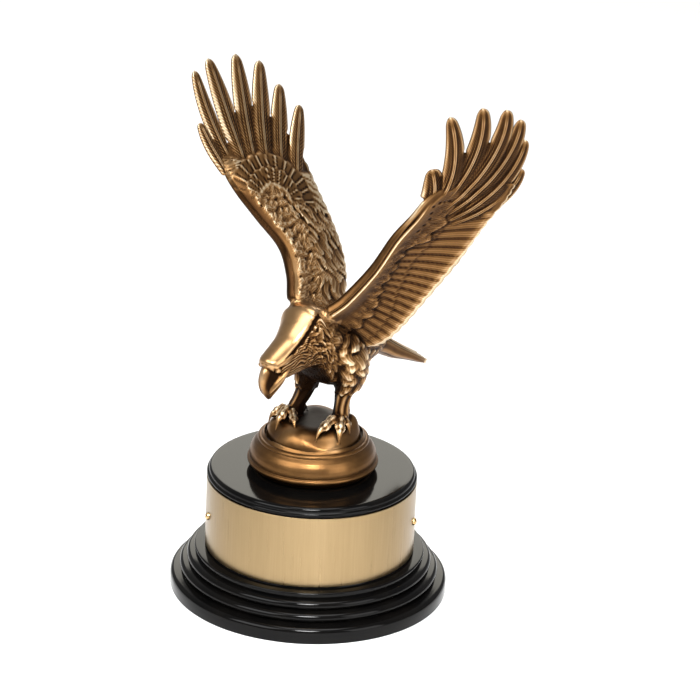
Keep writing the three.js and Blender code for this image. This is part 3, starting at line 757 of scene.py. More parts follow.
wings = {
    "right": {
        "root": [12.1, -10.6, 65.6], "span": [-0.185, -0.52, 0.835], "chord": [-0.98, 0.1, -0.16], "side": -1,
        # front edge (s, c), rear edge (s, c), thickness share, camber
        "ribs": [
            [-8, 4, -8, 34, 1, 1], [0, 0, 0, 42, 1, 2], [13, 3, 14, 47, 0.95, 3], [28, 2, 28, 47.5, 0.9, 3.4],
            [44, -9, 43, 45, 0.82, 3.4], [59, -19, 58, 41, 0.74, 3], [70, -24, 73, 37, 0.62, 2.4],
            [79, -25, 84, 34, 0.46, 1.4], [86, -21, 92, 27, 0.34, 0.6],
        ],
        # long feathers: root (s, c), bend (s, c), tip (s, c), width
        "primaries": [
            [76, -17, 101, -27.5, 125.6, -30, 10.5], [75, -9, 104, -12.5, 132, -19, 13],
            [74, -2, 104, 1, 134.3, 1.9, 13.2], [72, 6, 102, 12, 130.3, 17.7, 12.6],
            [68, 15, 94, 23.5, 116.9, 28.3, 12], [64, 25, 86, 33.5, 104.7, 39.1, 10.6],
        ],
        "thumb": [70, -22, 86, -31, 97.4, -34.2, 8.6],
        # place of the arm, curl of the feathers, width and lift of their roots
        "armPlace": 8, "curl": 3, "rootWidth": 0.92, "rootLift": -0.8,
        # strength and pitch of the barbs, wear of the vanes and of the feathers' sides
        "barbs": 0.9, "barbPitch": 2.1, "vaneTone": 0.66, "sideTone": 0.24,
        # wrist and reach of its coverts, centres that the plumes and the vanes fan out from
        "wrist": [50.8, 3.8], "covertArc": 29.5, "fan": [76, -4], "lowerFan": [12, -55],
        # share of the chord where the lower coverts end, from body to hand; where the hand begins; dents
        "coverEnd": [[0.5], [0.45], [0.4], [0.42], [0.5], [0.5], [0.4]], "wristEnd": 80, "dots": [],
        "seed": 40,
    },
    "left": {
        "root": [7.9, 9.3, 62.2], "span": [-0.357, 0.446, 0.82], "chord": [-0.81, 0.29, -0.51], "side": 1,
        "ribs": [
            [-8, 4, -8, 36, 1, 1], [0, 0, 0, 44, 1, 2], [12, 4, 14, 47, 0.95, 3], [34, 6, 32, 47.5, 0.9, 3.4],
            [55, 4, 52, 48, 0.82, 3.4], [70, 5, 70, 48, 0.74, 3], [80, 5, 86, 47, 0.62, 2.4],
            [88, 7, 102, 47, 0.46, 1.4], [94, 12, 113, 45, 0.34, 0.8],
        ],
        "primaries": [
            [84, 13, 108, 11, 126.6, -13.7, 11], [83.5, 16.5, 119.5, 18, 139, -0.7, 12],
            [82, 20.5, 125, 28, 144.6, 11.8, 12], [80, 24.5, 122, 37, 143.6, 23.2, 11.5],
            [77.5, 28, 112, 44.5, 135.4, 33.6, 10.8], [76, 31, 104, 49.5, 120.6, 44.4, 10],
        ],
        "thumb": [78, 10.5, 88, 10, 97.6, -2.6, 13.5],
        "armPlace": 6, "curl": 3, "rootWidth": 0.25, "rootLift": -0.4,
        "barbs": 0.6, "barbPitch": 1.7, "vaneTone": 0.42, "sideTone": 0.12,
        "wrist": [72, 14], "covertArc": 25, "fan": [86, 4], "lowerFan": [10, -55],
        "coverEnd": [[0.58], [0.52], [0.36], [0.32], [0.44], [0.5], [0.34]], "wristEnd": 97,
        "dots": [[88.6, 21], [87.4, 18.6], [86, 16.4], [84.4, 14], [81, 12],
                 [77, 14.2], [73.4, 16.2], [69, 16], [64.6, 15.4]],
        "seed": 60,
    },
}


def wingPoint(wing, s, c, n):  # wing places to bird space
    span = unitOf(wing["span"])
    chord = np.asarray(wing["chord"], float)
    chord = unitOf(chord - span * chord.dot(span))
    normal = np.cross(span, chord) * wing["side"]
    s, c, n = np.broadcast_arrays(s, c, n)
    return np.asarray(wing["root"]) + s[..., None] * span + c[..., None] * chord + n[..., None] * normal


def polar(s, c, centre, mean):  # distance from a centre, and distance round it at the mean reach
    ds, dc = s - centre[0], c - centre[1]
    return np.hypot(ds, dc), np.arctan2(ds, dc) * mean


def upperRelief(wing, s, c, x):
    # scales behind the rolled front edge, long wavy plumes towards the rear,
    # and two arcs of coverts by the wrist
    seed = wing["seed"]
    bend = 2.4 * (drift(s / 8, c / 8, seed) - 0.5)
    along, across = 0.45 * s + 0.89 * c + bend, 0.89 * s - 0.45 * c + bend
    scale, scalePhase = tufts(along, across, 6.4, 4.2, seed + 1, 0.45, 1.0, 1.0)
    away, around = polar(s, c, wing["fan"], 46)
    plume, plumePhase = tufts(away, around + 1.6 * bend, 14, 2.7, seed + 2, 0.7, 0.8, 1.4)
    front = smooth(x + 0.03 * (drift(s / 3, c / 3, seed + 4) - 0.5), 0.07, 0.13)
    rear = smooth(x + 0.12 * (drift(s / 5, c / 5, seed + 3) - 0.5), 0.4, 0.5)
    reach, turn = polar(s, c, wing["wrist"], 1)
    wristS, wristC = wing["wrist"]
    hand = smooth(s + 0.25 * (c - wristC), wristS, wristS + 7) * smooth(reach, 8, 12)
    arc = wing["covertArc"]
    openHand = smooth(s + 0.2 * (c - wristC), wristS + 20, wristS + 25)
    fanHeight = mixed(0.85 * (plume - 0.45), -1.25, openHand)
    fanTone = mixed(0.3 + 0.9 * plume, 0.56, openHand)
    for number, (inner, outer, rise) in enumerate(((0.66, 1.0, 0.1), (0.34, 0.72, 0.4))):
        place = turn / 0.25 + 0.5 * number + 0.15 * (drift(turn * 6, reach / 9, seed + 6) - 0.5)
        blade = place - np.floor(place)
        edge = np.abs(2 * blade - 1)
        end = arc * outer - 1.6 * edge ** 4
        within = smooth(end - reach, 0, 0.5) * smooth(reach, arc * inner - 1, arc * inner)
        within = within * smooth(turn, -0.55, -0.3)
        ridge = hump(edge, 1, 0.2)
        rim = smooth(reach, end - 1.6, end - 0.4)
        dip = hump(edge, 0.62, 0.12)
        fanHeight = mixed(fanHeight, rise - 0.1 + 0.32 * ridge - 0.25 * dip + 0.12 * rim, within)
        fanTone = mixed(fanTone, 0.5 + 0.36 * ridge - 0.2 * dip + 0.12 * rim, within)
    centre = 1 - smooth(reach, arc * 0.36, arc * 0.42)
    fanHeight = mixed(fanHeight, 0.55 + 0.3 * scale, centre)
    fanTone = mixed(fanTone, 0.5 + 0.8 * scale, centre)
    height = front * mixed(0.6 * (scale - 0.4), 0.85 * (plume - 0.45), rear)
    # the rolled front edge: painted shade along its rim, and a painted highlight on it towards the root
    frontShadeAndHighlight = 0.1 + (0.2 + 0.62 * (1 - smooth(s, 6, 44))) * smooth(x, 0.03, 0.06)
    tone = mixed(frontShadeAndHighlight, mixed(0.3 + 1.15 * scale, 0.26 + 1.1 * plume, rear), front)
    height = mixed(height, fanHeight, hand)
    tone = mixed(tone, fanTone, hand)
    grain = np.where(rear > 0.5, plumePhase, scalePhase)
    depth = front * (1 - hand) * 0.75
    return height, grain, depth, tone, 0.9 * (1 - front)


def lowerRelief(wing, s, c, x):
    # a thin bright ridge behind the nose, smooth lining, a ragged row of coverts,
    # then fine vanes to the rear edge
    seed = wing["seed"] + 100
    ridge = hump(x, 0.098, 0.014) * (1 - smooth(s, 74, 84))
    hollow = smooth(x, 0.01, 0.03) * (1 - smooth(x, 0.07, 0.09)) * (1 - smooth(s, 60, 78))
    lining = smooth(x, 0.1, 0.14)
    away, around = polar(s, c, wing["lowerFan"], 86)
    place = around / wingForm["vanePitch"]
    blade = place - np.floor(place)
    pair = place / 2 - np.floor(place / 2)
    ragged = 0.07 * (2 * np.abs(pair - 0.5) - 0.5) + 0.08 * (drift(s / 7, c / 7, seed) - 0.5)
    coverEnd = through(wing["coverEnd"], np.clip(s / 92, 0, 1))[..., 0] + ragged
    covert, covertPhase = tufts(away, around, 12, 5.2, seed + 2, 0.5, 0.9, 0.5)
    row = smooth(x, coverEnd, coverEnd + 0.02)  # 0 over the lining and coverts, 1 on the vanes
    coverZone = smooth(x, coverEnd - 0.24, coverEnd - 0.12) * (1 - row)
    swell = np.sin(math.pi * blade)
    crease = hump(blade, 0, 0.11) + hump(blade, 1, 0.11)
    vane = 0.2 * swell - 0.05 * crease
    # a second row of shorter feathers lies over the roots of the vanes, widest near the body
    shortEnd = coverEnd + 0.24 * (1 - smooth(s, 34, 84)) + 0.05 * (2 * np.abs(blade - 0.5) - 0.5) - ragged
    short = row * (1 - smooth(x, shortEnd, shortEnd + 0.02)) * (1 - smooth(s, 66, 84))
    shortCrack = row * hump(x, shortEnd + 0.012, 0.011) * (1 - smooth(s, 66, 84))
    hand = smooth(s + 0.1 * c, wing["wristEnd"] - 2, wing["wristEnd"] + 2)
    coverHeight = 0.3 + 0.28 * coverZone * (covert - 0.2)
    height = 0.5 * ridge - 0.9 * hollow + lining * mixed(coverHeight, vane - 0.3 + 0.16 * short, row)
    crack = hump(x, coverEnd + 0.008, 0.009)
    tone = 0.34 + 0.5 * ridge - 0.4 * hollow
    vaneTone = row * (0.08 * swell - 0.02 * crease + 0.12)
    tone = tone + lining * (0.06 + vaneTone + coverZone * (0.26 * covert - 0.06))
    tone = tone - 0.3 * crack * lining - 0.24 * shortCrack - 0.05 * short
    dots = np.zeros_like(s)
    for dotS, dotC in wing["dots"]:
        dots = np.maximum(dots, np.exp(-((s - dotS) ** 2 + (c - dotC) ** 2) / 0.45))
    height = mixed(height, -0.5, hand) - 0.7 * dots
    tone = mixed(tone, 0.4, hand) - 0.5 * dots
    grain = np.where(row > 0.5, around / 0.98, covertPhase)
    depth = lining * (0.34 * row + 0.4 * coverZone + 0.1) * (1 - hand)
    return height, grain, depth, tone, 0.2 * (1 - row) * lining + 0.5 * ridge


def addWing(casting, wing):
    # plate: a closed section of upper and lower sides, thick and rolled in front, thin behind
    half = steps(60)
    t = np.linspace(0, 1, steps(136))[:, None]
    x, face = thereAndBack((np.arange(half + 1) / half) ** 1.2)
    frontS, frontC, rearS, rearC, share, camber = (through(wing["ribs"], t + 0 * x)[..., k] for k in range(6))
    thin, thick = wingForm["featherThick"], wingForm["thick"]
    nose = np.sqrt(np.minimum(1, x / 0.03)) * (1 - smooth(x, 0.08, 0.34))
    thinning = np.minimum(1, np.minimum(8 * x, 12 * (1 - x) + 0.3))
    halfThick = thin / 2 * thinning + (thick * share - thin) / 2 * nose
    s = frontS + (rearS - frontS) * x
    c = frontC + (rearC - frontC) * x
    place = wingForm["secondaries"] * t
    scallop = (1 - np.abs(2 * (place - np.floor(place)) - 1) ** 2) * smooth(x, 0.86, 1)
    c = c + 0.9 * (scallop - 0.6) * smooth(x, 0.86, 1)
    top, low = upperRelief(wing, s, c, x + 0 * t), lowerRelief(wing, s, c, x + 0 * t)
    pick = (face > 0) + 0 * t
    height, grain, depth, tone, polish = (np.where(pick > 0.5, u, v) for u, v in zip(top, low))
    hold = smooth(x, 0.0, 0.05) * (0.35 + 0.65 * smooth(1 - x, 0, 0.05)) * smooth(t, 0, 0.03)
    # the front edge: a hollow under the near wing's nose, painted shade on the far one's nose
    under = -face * np.sqrt(np.minimum(1, x / 0.03)) - face * np.maximum(0, x - 0.03) / 0.03
    channel = smooth(under, -0.3, 0.1) * (1 - smooth(under, 1.4, 2.1)) * (1 - smooth(s, 56, 74))
    if wing["side"] > 0:
        c = c + 1.3 * channel
        tone, polish = mixed(tone, 0.36, channel), mixed(polish, 0.95, channel)
    else:
        # painted shade: the far wing's nose and the front of its lower side are painted nearly black and
        # polished
        nose = smooth(under, -0.6, -0.2) * (1 - smooth(under, 1.2, 1.6))
        tone, polish = mixed(tone, 0.06, nose), mixed(polish, 0.95, nose)
    n = face * (halfThick + height * hold) + 4 * camber * x * (1 - x)
    casting.add(toRow(wingPoint(wing, s, c, n)), grain, depth, np.clip(tone, 0, 1), polish)
    # shoulder and upper arm, which carry the wing out of the body
    t, a = gridOf(44, 44)
    row = through(wingForm["armRings"], t + 0 * a)
    s, c, n, reach, rise = (row[..., k] for k in range(5))
    points = wingPoint(wing, s, c + wing["armPlace"] + reach * np.cos(tau * a), n + rise * np.sin(tau * a))
    casting.add(toRow(points), 0, 0, 0.62, 0.5)
    for number, feather in enumerate(wing["primaries"]):
        addFeather(casting, wing, feather, 0.35 * (number % 2), wing["curl"])
    addFeather(casting, wing, wing["thumb"], 0.6, 1)


def plateRise(wing, s, c):  # how far the plate bulges at a place
    frontS, frontC, rearS, rearC, share, camber = np.asarray(wing["ribs"], float).T
    first, last = np.interp(s, frontS, frontC), np.interp(s, rearS, rearC)
    x = np.clip((c - first) / (last - first), 0, 1)
    return 4 * np.interp(s, frontS, camber) * x * (1 - x) * (1 - smooth(s, frontS[-1], frontS[-1] + 14))


def addFeather(casting, wing, feather, lift, curl):
    # long feather on a bent path: crowned above, hollow below, a double ridge for the shaft, slanted barbs
    rootS, rootC, bendS, bendC, tipS, tipC, width = feather
    half = steps(17)
    t = np.linspace(0, 1, steps(66))[:, None]
    even = np.arange(half + 1) / half * 2 - 1
    q, face = thereAndBack(0.55 * even + 0.45 * even ** 3)  # -1 at one side of the feather, 1 at the other
    placeS = (1 - t) ** 2 * rootS + 2 * t * (1 - t) * bendS + t * t * tipS
    placeC = (1 - t) ** 2 * rootC + 2 * t * (1 - t) * bendC + t * t * tipC
    leadS, leadC = np.gradient(placeS[:, 0])[:, None], np.gradient(placeC[:, 0])[:, None]
    size = np.hypot(leadS, leadC)
    leadS, leadC = leadS / size, leadC / size
    rootShare = wing["rootWidth"] + (1 - wing["rootWidth"]) * smooth(t, 0, 0.4)
    share = through(wingForm["featherWidths"], t)[..., 0] * rootShare
    tipRound = np.sqrt(np.clip(1 - np.clip((t - 0.93) / 0.07, 0, 1) ** 2, 0.004, 1))
    halfWidth = width / 2 * share * tipRound
    out = q * halfWidth
    fromShaft, fromMiddle = np.abs(out), np.abs(q)
    thick = (wingForm["featherThick"] / 2 + 0.5 * (1 - t)) * np.sqrt(tipRound)
    thick = thick * (0.5 + 0.5 * smooth(t, 0, 0.14))
    shaft = hump(fromShaft, 0.5, 0.3) * (1 - smooth(t, 0.84, 0.95))
    rim = hump(fromMiddle, 0.9, 0.09)
    hollow = hump(fromMiddle, 0.5, 0.3)
    lines = np.cos(tau * (fromShaft - 0.5) / 1.7) * (1 - smooth(t, 0.45, 0.85)) * smooth(fromShaft, 0.7, 1.1)
    upperSide = thick * (0.85 - 0.2 * fromMiddle) + 0.38 * shaft + 0.14 * rim - 0.12 * hollow
    upperSide = upperSide - 0.3 * q + 0.13 * lines
    lowerSide = thick * (0.8 - 0.2 * fromMiddle) + 0.42 * shaft + 0.3 * rim - 0.2 * hollow
    lowerSide = lowerSide + 0.3 * q + 0.13 * lines
    edge = np.sqrt(np.clip(1 - fromMiddle ** 6, 0, 1))
    base = lift + wing["rootLift"] * (1 - t) ** 2 + curl * t * t + plateRise(wing, placeS, placeC)
    n = base + np.where(face > 0, upperSide, np.where(face < 0, -lowerSide, 0)) * edge
    grain = (t * size.sum() - fromShaft * 1.1) / wing["barbPitch"]
    depth = wing["barbs"] * (1 - 0.8 * rim) * (1 - 0.9 * shaft) * (1 - smooth(t, 0.95, 1))
    depth = depth * smooth(fromShaft, 0.5, 1.0)
    # one half of each feather is painted a little lighter than the other, a painted highlight
    tone = wing["vaneTone"] + 0.3 * shaft + 0.04 * rim - 0.1 * hollow + 0.12 * lines - 0.12 * q
    side = smooth(fromMiddle, 0.74, 0.96)
    tone = mixed(tone + 0.2 * smooth(t, 0.92, 1), wing["sideTone"], side)
    points = wingPoint(wing, placeS - leadC * out, placeC + leadS * out, n)
    casting.add(toRow(points), grain, depth, np.clip(tone, 0, 1) + 0 * n, 0.15 + 0.75 * side + 0 * n)


# materials: shader maths as plain expressions


class Val:
    # a socket that adds its own maths nodes
    def __init__(self, mat, socket):
        self.mat, self.socket = mat, socket

    def maths(self, kind, other=None, clamp=False):
        values = [self] if other is None else [self, other]
        return self.mat.node("ShaderNodeMath", {"operation": kind, "use_clamp": clamp}, values)

    def __add__(self, other):
        return self.maths("ADD", other)

    def __sub__(self, other):
        return self.maths("SUBTRACT", other)

    def __rsub__(self, other):
        return (self * -1) + other

    def __mul__(self, other):
        return self.maths("MULTIPLY", other)

    __radd__, __rmul__ = __add__, __mul__

    def sin(self):
        return self.maths("SINE")

    def clip(self):  # held between 0 and 1
        return self.maths("ADD", 0.0, True)


class Finish:
    # one material: its node tree, the principled shader, and one way to make any node
    def __init__(self, name):
        self.material = bpy.data.materials.new(name)
        self.material.use_nodes = True
        self.tree = self.material.node_tree
        self.shader = self.tree.nodes["Principled BSDF"]

    def node(self, kind, settings=None, values=(), out=0):
        made = self.tree.nodes.new(kind)
        for name, value in (settings or {}).items():
            if name == "stops":
                ramp = made.color_ramp
                while len(ramp.elements) < len(value):
                    ramp.elements.new(0.5)
                for element, (place, colour) in zip(ramp.elements, value):
                    element.position, element.color = place, (*colour, 1)
            else:
                setattr(made, name, value)
        pairs = values.items() if isinstance(values, dict) else enumerate(values)
        for key, value in pairs:
            if isinstance(value, Val):
                self.tree.links.new(value.socket, made.inputs[key])
            elif value is not None:
                made.inputs[key].default_value = value
        return Val(self, made.outputs[out])

    def attribute(self, name):
        return self.node("ShaderNodeAttribute", {"attribute_name": name}, (), "Fac")

    def spread(self, scale):  # the piece's own coordinates, stretched
        spot = self.node("ShaderNodeTexCoord", None, (), "Object")
        return self.node("ShaderNodeMapping", None, {"Vector": spot, "Scale": scale})

    def noise(self, scale, detail, roughness=0.5, stretch=(1, 1, 1)):
        return self.node("ShaderNodeTexNoise", None, {
            "Vector": self.spread(stretch), "Scale": scale, "Detail": detail, "Roughness": roughness})

    def ramp(self, value, stops):
        return self.node("ShaderNodeValToRGB", {"stops": stops}, {"Fac": value})

    def feed(self, **sockets):  # values and links into the shader's own sockets
        for name, value in sockets.items():
            socket = self.shader.inputs[name.replace("_", " ")]
            if isinstance(value, Val):
                self.tree.links.new(value.socket, socket)
            else:
                socket.default_value = value

    def bump(self, height, strength, distance):
        sockets = {"Height": height, "Strength": strength, "Distance": distance}
        return self.node("ShaderNodeBump", None, sockets)


patina = [  # colour by wear: none in the hollows, all on rubbed edges
    (0.0, (0.012, 0.0055, 0.0025)), (0.25, (0.06, 0.027, 0.0095)), (0.5, (0.2, 0.1, 0.035)),
    (0.75, (0.42, 0.25, 0.115)), (1.0, (0.8, 0.63, 0.41)),
]


def antiqueBronze():
    # dark brown lies in the hollows and grooves, bright metal shows where hands and cloth rub; enclosed
    # places under and between the forms are painted darker still, as painted shade
    f = Finish("antiqueBronze")
    tone, polish = f.attribute("tone"), f.attribute("polish")
    near, wide = f.attribute("near"), f.attribute("wide")
    grain, depth = f.attribute("grain"), f.attribute("depth")
    cloud = f.noise(220, 3)
    waver = (cloud - 0.5) * 1.4
    line = ((grain * tau) + waver).sin() * 0.5 + 0.5
    groove = (1 - line) * depth
    # painted shade: enclosed places take the colour down towards black
    shelter = f.attribute("shelter")
    paintedShadeDarkening = ((shelter - 0.12) * 5.0).clip()
    worn = tone * 0.7 + (near * 1.5 + wide * 0.3) * (1 - polish) - groove * 0.34
    worn = (worn + (cloud - 0.5) * 0.14 + 0.04 - paintedShadeDarkening * 0.6).clip()
    colour = f.ramp(worn, patina)
    rough = 0.4 - polish * 0.16 + (1 - worn) * 0.14 + (cloud - 0.5) * 0.08
    pits = f.noise(900, 2)
    height = line * depth * 0.26 + pits * 0.03 + cloud * 0.05
    f.feed(Base_Color=colour, Roughness=rough.clip(), Metallic=1.0, Normal=f.bump(height, 1.0, 0.001))
    return f.material


def blackLacquer():  # nearly even black, with a faint haze in its gloss
    f = Finish("blackLacquer")
    haze = f.noise(60, 3)
    f.feed(Base_Color=f.ramp(haze, [(0.3, (0.001, 0.001, 0.0011)), (0.7, (0.0026, 0.0023, 0.002))]),
           Roughness=0.07 + haze * 0.06, Normal=f.bump(f.noise(26, 1), 0.06, 0.001))
    f.shader.inputs["Specular IOR Level"].default_value = 0.1
    return f.material


def satinBrass():
    # fine lines run up the band, so they are stretched along its height
    f = Finish("satinBrass")
    lines = f.noise(900, 3, 0.6, (1, 1, 0.03))
    broad = f.noise(70, 2, 0.6, (1, 1, 0.02))
    colour = f.ramp(broad * 0.4 + lines * 0.6, [(0.3, (0.225, 0.158, 0.08)), (0.7, (0.26, 0.186, 0.098))])
    f.feed(Base_Color=colour, Metallic=1.0, Roughness=0.22 + lines * 0.16,
           Normal=f.bump(lines, 0.12, 0.0006))
    return f.material


def pinBrass():  # cast brass with small darker spots
    f = Finish("pinBrass")
    spots = f.noise(700, 2)
    f.feed(Base_Color=f.ramp(spots, [(0.3, (0.3, 0.16, 0.06)), (0.6, (0.7, 0.5, 0.24))]), Metallic=1.0,
           Roughness=0.2 + spots * 0.15, Normal=f.bump(spots, 0.1, 0.0004))
    return f.material


# plinth, band and pins

plinth = {
    "foot": 8.6, "footRound": 2.6, "stepInset": 3.4,  # height of the foot, its edge and the step over it
    "lowerBead": 70, "upperBead": 66.2, "bead": 4.7, "beadStart": 1.2, "beadSpace": 0.6,
    "ledgeRadius": 62.2, "ledge": 23.4, "drumRadius": 55.6, "drum": 41.3,
    "mouldReach": 0.7, "topRadius": 53.8,
}


def arcPoints(centreR, centreZ, radius, start, end, count):
    # stretch of a circle in the profile, in degrees from level
    angle = np.radians(np.linspace(start, end, count))
    return [[centreR + radius * math.cos(k), centreZ + radius * math.sin(k)] for k in angle]


def plinthProfile():
    # outline from the middle of the underside out and up to the middle of the top: radius, height
    p = plinth
    footRadius, top = plinthHigh[1], plinthHigh[2]
    drumTop = p["ledge"] + p["drum"]
    half = p["bead"] / 2
    low = p["foot"] + p["beadStart"]
    high = low + p["bead"] + p["beadSpace"]
    mouldTop = drumTop + (top - drumTop) * 0.4
    mould = p["drumRadius"] + p["mouldReach"]
    profile = [[0.01, 0], [footRadius - 1, 0]]
    profile += arcPoints(footRadius - 0.8, 0.8, 0.8, -90, 0, 5)
    profile += arcPoints(footRadius - p["footRound"], p["foot"] - p["footRound"], p["footRound"], 0, 90, 9)
    profile += [[footRadius - p["stepInset"], p["foot"] + 0.1], [p["lowerBead"] - half + 0.4, low - 0.4]]
    profile += arcPoints(p["lowerBead"] - half, low + half, half, -80, 82, 12)
    profile += arcPoints(p["upperBead"] - half, high + half, half, -82, 80, 12)
    profile += [[p["ledgeRadius"] - 0.3, high + p["bead"] + 0.2]]
    profile += arcPoints(p["ledgeRadius"] - 0.8, p["ledge"] - 0.8, 0.8, 0, 90, 5)
    profile += [[p["drumRadius"] + 0.2, p["ledge"]], [p["drumRadius"], p["ledge"] + 0.3]]
    profile += [[p["drumRadius"], drumTop - 0.1]]
    profile += arcPoints(mould - 0.8, (drumTop + mouldTop) / 2, (mouldTop - drumTop) / 2 + 0.2, -80, 80, 8)
    profile += [[p["drumRadius"] - 0.1, mouldTop + 0.3]]
    profile += arcPoints(p["topRadius"] - 0.2, top - 1.9, 1.9, 0, 90, 8)
    return profile + [[p["topRadius"] - 1.4, top], [0.01, top]]


def gridMesh(name, points):
    # a mesh of its own from one skin, without the casting's marks
    work = Casting()
    work.add(points)
    part = work.objects()[0]
    mesh = part.data
    bpy.data.objects.remove(part)
    while mesh.uv_layers:
        mesh.uv_layers.remove(mesh.uv_layers[0])
    mesh.name = name
    return mesh


def smoothBy(mesh, degrees):  # smooth faces, sharp where two meet at more than the angle
    mesh.shade_smooth()
    mesh.set_sharp_from_angle(angle=math.radians(degrees))


def putPiece(name, mesh, material, slot, *nodes):
    piece = bpy.data.objects.new(name, mesh)
    bpy.context.scene.collection.objects.link(piece)
    mesh.materials.clear()
    mesh.materials.append(material)
    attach(piece, "root")
    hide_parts(*nodes)


band = {"thick": 0.7, "play": 0.3, "seam": 3.0, "turn": math.radians(2.4), "edge": 0.18}
pin = {"radius": 2.1, "rim": 0.3, "rise": 1.6, "sink": 0.1}


def bandReach():  # radius of the band's outer side
    return plinth["drumRadius"] + band["play"] + band["thick"]


def bandPoints():
    # flat strip rolled round the drum, its edges just rounded, open at the back
    outer, low, high = bandReach(), bandLow[2], bandHigh[2]
    inner, e = outer - band["thick"], band["edge"]
    section = np.array([[inner, low], [outer - e, low], [outer, low + e],
                        [outer, high - e], [outer - e, high], [inner, high]])
    seam = band["seam"] / 2 / outer
    t = np.linspace(0, 1, 300)[:, None]
    angle = math.pi / 2 + band["turn"] + seam + t * (tau - 2 * seam)
    r, h = section.T
    return np.stack([r * np.cos(angle), r * np.sin(angle), h + 0 * angle], -1)


def pinPoints(node):
    # domed head turned round its own axis, which points straight out of the band
    low, high = boxMm(node)
    centre = (low + high) / 2
    out = unitOf([centre[0], centre[1], 0])
    side = np.array([-out[1], out[0], 0])
    radius, rim = pin["radius"], pin["rim"]
    profile = np.array([[0.05, 0], [radius, 0], [radius, rim]] + arcPoints(0, rim, 1.0, 4, 88, 8))
    profile[3:, 0] *= radius
    profile[3:, 1] = rim + (profile[3:, 1] - rim) * pin["rise"]
    a = np.arange(32)[None, :] / 32 * tau
    r, h = profile[:, :1], profile[:, 1:] + bandReach() - pin["sink"]
    up, middle = np.array([0, 0, 1]), np.array([0, 0, centre[2]])
    return middle + h[..., None] * out + (r * np.cos(a))[..., None] * side + (r * np.sin(a))[..., None] * up


# the scene

casting = Casting()
addFoot(casting)
addBody(casting)
addHead(casting)
addLegs(casting)
addTail(casting)
for wing in wings.values():
    addWing(casting, wing)
print("skins:", len(casting.skins), "faces:", sum(len(s[2]) for s in casting.skins))
mesh = joinSkins(casting, "eagleCasting")
finishCasting(mesh, [toRow(np.array(spot)) for spot in bird["shoulders"]])
putPiece("eagleCasting", mesh, antiqueBronze(), "bronze", "eagle_casting")

mesh = gridMesh("plinthTurned", turned(plinthProfile(), 1, 320))
smoothBy(mesh, 40)
putPiece("plinthTurned", mesh, blackLacquer(), "lacquer", "plinth")
mesh = gridMesh("nameBandStrip", bandPoints())
smoothBy(mesh, 30)
putPiece("nameBandStrip", mesh, satinBrass(), "band", "name_band")
pinFinish = pinBrass()
for number in (1, 2, 3, 4):
    mesh = gridMesh("pinHead" + str(number), pinPoints("band_pin_" + str(number)))
    smoothBy(mesh, 50)
    putPiece("pinHead" + str(number), mesh, pinFinish, "pin", "band_pin_" + str(number))
print("plinth, band and pins made")

# floor, light and camera

stage = {
    "floorReach": 6.0, "floorColour": (0.86, 0.86, 0.86), "worldGrey": 0.42,
    # pool of light on the floor: place, aim, power, radius of the lamp, angle of its cone
    "spot": [(0.03, -1.0, 1.0), (0.03, -0.2, 0), 220, 0.2, 22],
    # place, aim, width, height, power and colour
    "softboxes": {
        "keySoftbox": [(-1.1, -1.0, 1.5), (0, 0, 0.15), 1.2, 1.2, 34, (1, 1, 1)],
        "fillSoftbox": [(1.3, -1.1, 0.8), (0, 0, 0.15), 0.9, 1.3, 16, (1, 1, 1)],
        "topSoftbox": [(0.1, 0.0, 1.9), (0, 0, 0.15), 1.2, 0.9, 22, (1, 1, 1)],
        "backSoftbox": [(0, 3.2, 1.36), (0, 0, 0.1), 2.4, 0.9, 24, (1, 0.96, 0.84)],
    },
}


def addFloor():
    reach = stage["floorReach"]
    mesh = bpy.data.meshes.new("floor")
    corners = [(-reach, -reach, 0), (reach, -reach, 0), (reach, reach, 0), (-reach, reach, 0)]
    mesh.from_pydata(corners, [], [(0, 1, 2, 3)])
    f = Finish("paleFloor")
    f.feed(Base_Color=(*stage["floorColour"], 1), Roughness=0.6)
    mesh.materials.append(f.material)
    floor = bpy.data.objects.new("floor", mesh)
    bpy.context.scene.collection.objects.link(floor)


def hangLight(name, light, spot, aim):  # the light at its spot, turned to its aim
    lamp = bpy.data.objects.new(name, light)
    lamp.location = spot
    lamp.rotation_euler = (Vector(aim) - Vector(spot)).to_track_quat("-Z", "Y").to_euler()
    bpy.context.scene.collection.objects.link(lamp)


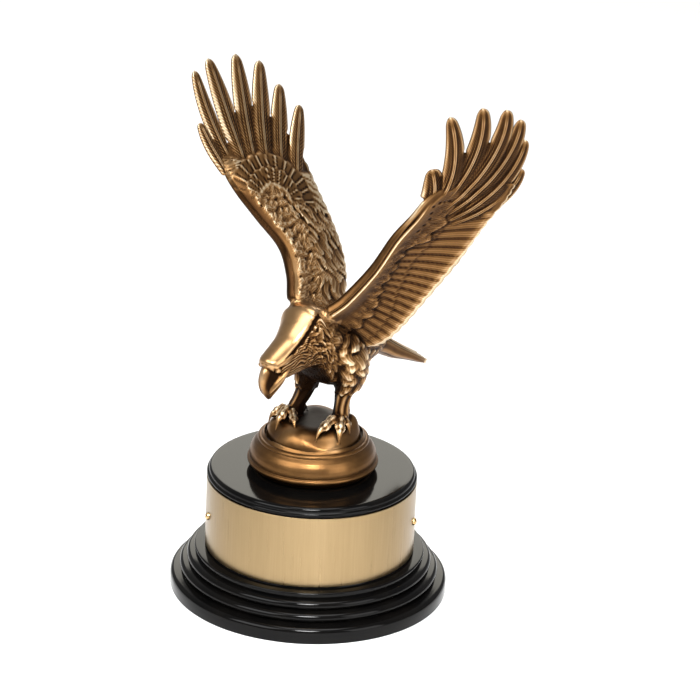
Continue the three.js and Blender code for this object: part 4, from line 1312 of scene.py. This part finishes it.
def addSoftbox(name, spot, aim, width, height, power, colour):
    light = bpy.data.lights.new(name, "AREA")
    light.shape = "RECTANGLE"
    light.size, light.size_y = width, height
    light.energy, light.color = power, colour
    hangLight(name, light, spot, aim)


def addFloorSpot(spot, aim, power, radius, angle):
    # soft pool of light on the floor before the plinth, which the band reflects
    light = bpy.data.lights.new("floorSpot", "SPOT")
    light.energy, light.shadow_soft_size = power, radius
    light.spot_size, light.spot_blend = math.radians(angle), 1.0
    hangLight("floorSpot", light, spot, aim)


view = {
    "elevation": math.radians(21.9), "roll": math.radians(2.5), "distance": 1.75, "sensor": 36,
    # scale at that distance, where the middle of the plinth's underside lands, and the frame's width
    "pixelsPerMetre": 1833.0, "basePixel": (307.8, 581.7), "frame": 700.0,
}


def addCamera():
    # the plinth's base centre lands on its pixel at the given distance, with a level look turned by the roll
    e, roll, distance = view["elevation"], view["roll"], view["distance"]
    focal = view["pixelsPerMetre"] * distance
    forward = np.array([0, math.cos(e), -math.sin(e)])
    level = np.array([1.0, 0, 0])
    rise = np.cross(level, forward)
    right = math.cos(roll) * level + math.sin(roll) * rise
    up = -math.sin(roll) * level + math.cos(roll) * rise
    offX = (view["basePixel"][0] - view["frame"] / 2) / focal
    offY = -(view["basePixel"][1] - view["frame"] / 2) / focal
    spot = -distance * (forward + offX * right + offY * up)
    lens = bpy.data.cameras.new("camera")
    lens.sensor_width = view["sensor"]
    lens.lens = focal / view["frame"] * view["sensor"]
    camera = bpy.data.objects.new("camera", lens)
    turn = Matrix((tuple(right), tuple(up), tuple(-forward))).transposed()
    camera.matrix_world = Matrix.Translation(Vector(spot)) @ turn.to_4x4()
    bpy.context.scene.collection.objects.link(camera)
    bpy.context.scene.camera = camera


addFloor()
for name, box in stage["softboxes"].items():
    addSoftbox(name, *box)
addFloorSpot(*stage["spot"])
bpy.context.scene.view_settings.view_transform = "Standard"
world = bpy.data.worlds.new("studio")
bpy.context.scene.world = world
world.use_nodes = True
grey = stage["worldGrey"]
world.node_tree.nodes["Background"].inputs["Color"].default_value = (grey, grey, grey, 1)
addCamera()
print("stage, lights and camera set")
